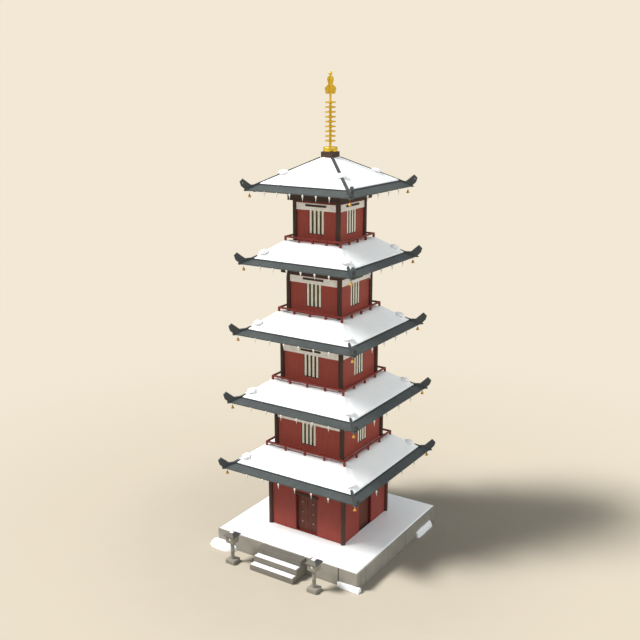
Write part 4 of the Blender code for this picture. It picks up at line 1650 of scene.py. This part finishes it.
@dataclass
class StoneLantern:
    """Free-standing stone lantern with snow on its cap."""

    name: str
    base_half: float = 0.25
    base_top: float = 0.20
    base_edge: float = 0.012
    base_bevel: float = 0.01
    cap_edge: float = 0.006
    shaft_outline: Outline = (
        (0.09, 0.18), (0.09, 0.60), (0.100, 0.615),
        (0.100, 0.645), (0.09, 0.66), (0.09, 0.96), (0.105, 1.00), (0.12, 1.04),
    )
    box_outline: Outline = ((0.130, 1.02), (0.215, 1.09), (0.225, 1.11), (0.225, 1.445))
    cap_outline: Outline = (
        (0.295, 1.445), (0.31, 1.450), (0.31, 1.470), (0.20, 1.520), (0.10, 1.590), (0.02, 1.655),
    )
    snow_outline: Outline = (
        (0.085, 1.585), (0.098, 1.600), (0.082, 1.630), (0.045, 1.675), (0.018, 1.715), (0.006, 1.735),
    )
    opening_radius: float = 0.085
    opening_height: float = 1.285
    opening_reach: float = 0.30
    opening_clear: float = 0.001
    pane_setback: float = 0.03
    # Outlines of the rim and the pane, as shares of the opening's radius and distances outward
    rim_outline: Outline = ((1.0, -0.014), (1.0, 0.0), (0.84, 0.004))
    pane_outline: Outline = ((0.82, -0.010), (0.82, 0.006), (0.5, 0.012))
    sides: int = 28

    def build(self) -> None:
        """Stone base, shaft and cap, a pierced light box, paper in its openings and snow on the cap."""
        low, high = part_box(self.name)
        centre = ((low.x + high.x) / 2, (low.y + high.y) / 2)
        self.build_stone(centre)
        self.build_box(centre)
        self.build_panes(centre)
        self.build_snow(centre)

    def build_stone(self, centre: Sequence[float]) -> None:
        """Square base, round shaft, and a pointed cap whose slopes to the right and back are darker, which is
        painted shade.
        """
        piece = Workpiece(f"{self.name}_stone", LANTERN_STONE, CAP_STONE, SHADED_CAP_STONE)
        half, top = self.base_half, self.base_top
        bevel = self.base_bevel
        base = ((half, 0.0), (half, top - bevel), (half - bevel, top))
        piece.square_stack(base, centre, self.base_edge)
        piece.turned(centre, self.shaft_outline, self.sides)
        piece.square_stack(self.cap_outline, centre, self.cap_edge, 1)
        # Slopes of the cap that face right or back take the darker stone: painted shade
        for face in piece.shape.faces:
            away = face.calc_center_median() - Vector((*centre, 0.0))
            if face.material_index == 1 and max(away.x, away.y) > max(-away.x, -away.y):
                face.material_index = 2
        piece.done(replaces=(self.name,))

    def build_box(self, centre: Sequence[float]) -> None:
        """Light box with a round opening from front to back."""
        piece = Workpiece(f"{self.name}_light_box", LANTERN_STONE)
        piece.square_stack(self.box_outline, centre, self.base_edge)
        hole = Workpiece("opening_cut", LANTERN_STONE)
        middle = Vector((centre[0], centre[1], self.opening_height))
        outward = Side.FRONT.place(0.0, 1.0, 0.0)
        ends = ((self.opening_radius, -self.opening_reach), (self.opening_radius, self.opening_reach))
        hole.boss(middle, outward, ends, self.sides)
        piece.done(cutters=(hole,))

    def build_panes(self, centre: Sequence[float]) -> None:
        """Pale round pane a little inside each opening, in a dark rim that is painted shade of the opening's
        reveal.
        """
        piece = Workpiece(f"{self.name}_panes", LANTERN_PAPER, PAINTED_SHADE_STONE)
        face = self.box_outline[-1][0] - self.pane_setback
        radius = self.opening_radius - self.opening_clear
        rim, pane = (
            [(share * radius, face + out) for share, out in outline]
            for outline in (self.rim_outline, self.pane_outline)
        )
        middle = Vector((centre[0], centre[1], self.opening_height))
        for side in (Side.FRONT, Side.BACK):
            outward = side.place(0.0, 1.0, 0.0)
            piece.boss(middle, outward, rim, self.sides, 1)
            piece.boss(middle, outward, pane, self.sides)
        piece.done()

    def build_snow(self, centre: Sequence[float]) -> None:
        """Pointed snow on top of the cap."""
        piece = Workpiece(f"{self.name}_snow", FRESH_SNOW)
        piece.square_stack(self.snow_outline, centre, self.base_edge)
        piece.done()


@dataclass
class Finial:
    """Gilt finial on the highest roof."""

    base: float
    sides: int = 36
    rings: int = 9
    ring_pitch: float = 0.2127
    first_ring: float = 0.48
    # Bowl and the shaft on it, from the block up
    bowl_outline: Outline = (
        (0.295, 0.0), (0.318, 0.012), (0.331, 0.045), (0.334, 0.090), (0.328, 0.096), (0.328, 0.106),
        (0.334, 0.112), (0.333, 0.170), (0.322, 0.200), (0.302, 0.214), (0.080, 0.220), (0.056, 0.232),
        (0.050, 0.250), (0.050, 2.54),
    )
    ring_outline: Outline = (
        (0.050, -0.050), (0.085, -0.050), (0.110, -0.043), (0.230, -0.032), (0.245, -0.020),
        (0.245, 0.020), (0.230, 0.032), (0.110, 0.043), (0.085, 0.050), (0.050, 0.050),
    )
    flame_foot: float = 2.55
    flame_thickness: float = 0.036
    # Right half of a flame plate, and the core that the plates cross on
    flame_outline: Outline = (
        (0.205, 0.0), (0.217, 0.010), (0.262, 0.225), (0.264, 0.252), (0.246, 0.285), (0.185, 0.345),
        (0.125, 0.390), (0.109, 0.420), (0.114, 0.465), (0.140, 0.560), (0.152, 0.620), (0.144, 0.680),
        (0.112, 0.740), (0.078, 0.775),
    )
    core_outline: Outline = ((0.05, 0.0), (0.045, 0.30), (0.035, 0.60), (0.030, 0.82))
    core_sides: int = 20
    # Jewel: distance of its middle under its point, share of its radius in that, and its two ends
    jewel_drop: float = 0.085
    jewel_share: float = 0.35
    jewel_steps: int = 12
    jewel_foot: Span = (0.030, -0.004)
    jewel_point: Outline = ((0.014, -0.02), (0.004, 0.0))

    @classmethod
    def read(cls) -> "Finial":
        """Read the height of the block that it stands on from the solid model."""
        return cls(base=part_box("finial_block")[1].z)

    def build(self) -> None:
        """Block, bowl, ringed shaft, flame plates and jewel."""
        dress("finial_block", BEAM_TIMBER)
        self.build_spire()
        self.build_flame()
        self.build_jewel()

    def build_spire(self) -> None:
        """Upturned bowl with a ringed shaft."""
        piece = Workpiece("finial_bowl_and_rings", GOLD_LEAF)
        piece.turned((0.0, 0.0), raised(self.bowl_outline, self.base), self.sides)
        for index in range(self.rings):
            middle = self.base + self.first_ring + self.ring_pitch * index
            piece.turned((0.0, 0.0), raised(self.ring_outline, middle), self.sides)
        piece.done(replaces=("finial_spire",))

    def build_flame(self) -> None:
        """Flame plates that cross on the axis, round a core."""
        piece = Workpiece("finial_flame_plates", GOLD_LEAF)
        foot = self.base + self.flame_foot
        right = [(radius / DIAGONAL, height) for radius, height in raised(self.flame_outline, foot)]
        outline = right + [(-distance, height) for distance, height in reversed(right)]
        for corner in ((1, 1), (1, -1)):
            piece.diagonal_slab(corner, outline, self.flame_thickness)
        piece.turned((0.0, 0.0), raised(self.core_outline, foot), self.core_sides)
        piece.done(replaces=("finial_flame",))

    def build_jewel(self) -> None:
        """Ball that ends in a point."""
        piece = Workpiece("finial_ball", GOLD_LEAF)
        low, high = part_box("finial_jewel")
        radius = (high.x - low.x) / 2
        middle = high.z - self.jewel_drop - radius * self.jewel_share
        outline = raised((self.jewel_foot,), low.z)
        for step in range(1, self.jewel_steps):
            angle = math.pi * step / self.jewel_steps - math.pi / 2
            outline.append((radius * math.cos(angle), middle + radius * math.sin(angle)))
        outline += raised(self.jewel_point, high.z)
        outline.sort(key=lambda point: point[1])
        piece.turned((0.0, 0.0), outline, self.sides)
        piece.done(replaces=("finial_jewel",))


def direction(azimuth: float, elevation: float) -> Vector:
    """Direction from its angle about Z, counted from +X, and its angle above the floor, in degrees."""
    turn, rise = math.radians(azimuth), math.radians(elevation)
    return Vector((math.cos(turn) * math.cos(rise), math.sin(turn) * math.cos(rise), math.sin(rise)))


@dataclass(frozen=True)
class Lamp:
    """Far lamp: its direction, irradiance, spread in degrees, which softens its shadows, and colour."""

    name: str
    azimuth: float
    elevation: float
    strength: float
    spread: float
    colour: Colour
    distance: float = 40.0

    def add(self) -> bpy.types.Object:
        """Add the lamp, turned towards the building."""
        light = bpy.data.lights.new(self.name, "SUN")
        light.energy = self.strength
        light.angle = math.radians(self.spread)
        light.color = self.colour
        lamp = bpy.data.objects.new(self.name, light)
        toward = direction(self.azimuth, self.elevation)
        lamp.rotation_euler = toward.to_track_quat("Z", "Y").to_euler()
        lamp.location = toward * self.distance
        bpy.context.scene.collection.objects.link(lamp)
        return lamp


WARM_LIGHT = (1.0, 0.985, 0.945)
FLOOR_LIGHT = Lamp("floor_light", 222.0, 50.0, 5.0, 13.0, WARM_LIGHT)
KEY_LIGHT = Lamp("key_light", 222.0, 50.0, 3.9, 20.0, WARM_LIGHT)
FILL_LIGHT = Lamp("fill_light", -2.0, 36.0, 0.78, 66.0, (0.95, 1.0, 0.98))


@dataclass(frozen=True)
class Studio:
    """Pale floor, soft light, and the camera at the photograph's viewing angle."""

    camera_azimuth: float = 32.7414 - 90.0
    camera_elevation: float = 15.0774
    distance: float = 42.6322
    lens: float = 50.0
    film_width: float = 36.0
    sight: float = 1500.0
    target: Point = (-0.39526, -0.25415, 11.25372)
    backdrop: Colour = (0.888, 0.807, 0.665)
    floor_radius: float = 400.0
    floor_sides: int = 96
    floor_drop: float = 0.002
    floor_roughness: float = 0.9
    floor_colour: Colour = (0.268, 0.240, 0.198)
    mottle_tone: float = 1.02
    # Distances from the building over which the floor grows paler, the darker floor nearer being painted
    # shade, and then fades into the backdrop
    paler_span: Span = (7.0, 14.0)
    paler_tone: float = 1.10
    fade_span: Span = (14.0, 34.0)
    ambient: float = 0.61
    ambient_colour: Colour = (0.935, 0.965, 0.970)

    def build(self) -> None:
        """Make the floor, the lights, the world and the camera."""
        floor = self.build_floor()
        self.build_lights(floor)
        self.build_world()
        self.build_camera()
        view = bpy.context.scene.view_settings
        view.view_transform = "Standard"
        view.look = "None"

    def build_floor(self) -> bpy.types.Object:
        """Level floor that grows paler outwards, so that its darker middle is painted shade round the
        building, and fades into the backdrop far from the building.
        """
        shape = bmesh.new()
        bmesh.ops.create_circle(shape, cap_ends=True, segments=self.floor_sides, radius=self.floor_radius)
        mesh = bpy.data.meshes.new("studio_floor")
        shape.to_mesh(mesh)
        shape.free()
        floor = bpy.data.objects.new("studio_floor", mesh)
        floor.location.z = -self.floor_drop
        bpy.context.scene.collection.objects.link(floor)
        mesh.materials.append(self.floor_material())
        return floor

    def floor_material(self) -> bpy.types.Material:
        """Pale matt floor with faint mottling, darker near the building as painted shade."""
        desk = NodeDesk("studio_floor")
        mottled, far = (
            tuple(channel * tone for channel in self.floor_colour)
            for tone in (self.mottle_tone, self.paler_tone)
        )
        away = desk.nodes.new("ShaderNodeVectorMath")
        away.operation = "LENGTH"
        desk.feed(away.inputs[0], desk.place)
        distance = away.outputs["Value"]
        tone = desk.mix(desk.span(desk.noise(desk.place, 0.6, 3.0), *MIDDLE), self.floor_colour, mottled)
        desk.paint(desk.mix(desk.span(distance, *self.paler_span), tone, far), self.floor_roughness)
        desk.shader.inputs["Specular IOR Level"].default_value = 0.0
        glow = desk.nodes.new("ShaderNodeEmission")
        desk.feed(glow.inputs["Color"], self.backdrop)
        blend = desk.nodes.new("ShaderNodeMixShader")
        parts = (desk.span(distance, *self.fade_span), desk.shader.outputs[0], glow.outputs[0])
        for socket, part in zip(blend.inputs, parts):
            desk.feed(socket, part)
        desk.feed(desk.nodes["Material Output"].inputs["Surface"], blend.outputs[0])
        return desk.material

    def build_lights(self, floor: bpy.types.Object) -> None:
        """Soft key light from the front left, one more for the floor alone, and a weak wide fill."""
        only_floor = bpy.data.collections.new("floor_only")
        only_floor.objects.link(floor)
        FLOOR_LIGHT.add().light_linking.receiver_collection = only_floor
        KEY_LIGHT.add()
        FILL_LIGHT.add()

    def build_world(self) -> None:
        """Even world, which the camera sees as the backdrop and the building as a pale sky."""
        world = bpy.data.worlds.new("studio")
        world.use_nodes = True
        tree = world.node_tree
        seen = tree.nodes["Background"]
        seen.inputs["Color"].default_value = (*self.backdrop, 1.0)
        seen.inputs["Strength"].default_value = 1.0
        lit = tree.nodes.new("ShaderNodeBackground")
        lit.inputs["Color"].default_value = (*self.ambient_colour, 1.0)
        lit.inputs["Strength"].default_value = self.ambient
        path = tree.nodes.new("ShaderNodeLightPath")
        choice = tree.nodes.new("ShaderNodeMixShader")
        parts = (path.outputs["Is Camera Ray"], lit.outputs[0], seen.outputs[0])
        for socket, part in zip(choice.inputs, parts):
            tree.links.new(part, socket)
        tree.links.new(choice.outputs[0], tree.nodes["World Output"].inputs["Surface"])
        bpy.context.scene.world = world

    def build_camera(self) -> None:
        """Camera that looks down on the front and the right side."""
        lens = bpy.data.cameras.new("camera")
        lens.lens = self.lens
        lens.sensor_width = self.film_width
        lens.clip_end = self.sight
        camera = bpy.data.objects.new("camera", lens)
        back = direction(self.camera_azimuth, self.camera_elevation)
        camera.location = Vector(self.target) + back * self.distance
        camera.rotation_euler = back.to_track_quat("Z", "Y").to_euler()
        bpy.context.scene.collection.objects.link(camera)
        bpy.context.scene.camera = camera


# How far a roof's top edge lies outside the railing on it, and half the width of the highest roof's top
TOP_PAST_RAILING = 0.0075
HIGHEST_TOP_HALF = 0.34


def read_roofs(storeys: Sequence[Storey]) -> list[Roof]:
    """Roofs over the storeys, each read from the storey or block that stands on it."""
    roofs = []
    for storey, above in zip(storeys, storeys[1:]):
        top_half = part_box(f"{above.label}_railing")[1].x + TOP_PAST_RAILING
        roofs.append(Roof(storey, top_half, above.floor, above.wall_half + TOLERANCE))
    low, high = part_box("finial_block")
    roofs.append(Roof(storeys[-1], HIGHEST_TOP_HALF, low.z, high.x + TOLERANCE, curve=1.0))
    return roofs


def main() -> None:
    """Build the whole scene, from the studio to the finial."""
    logging.basicConfig(level=logging.INFO, format="%(message)s")
    Studio().build()
    storeys = [Storey.read(number) for number in range(1, STOREYS + 1)]
    Platform.read().build()
    for name in ("lantern_left", "lantern_right"):
        StoneLantern(name).build()
    GroundStorey(storeys[0]).build()
    for storey in storeys[1:]:
        UpperStorey(storey).build()
    for roof in read_roofs(storeys):
        roof.build()
    Finial.read().build()


if __name__ == "__main__":
    main()
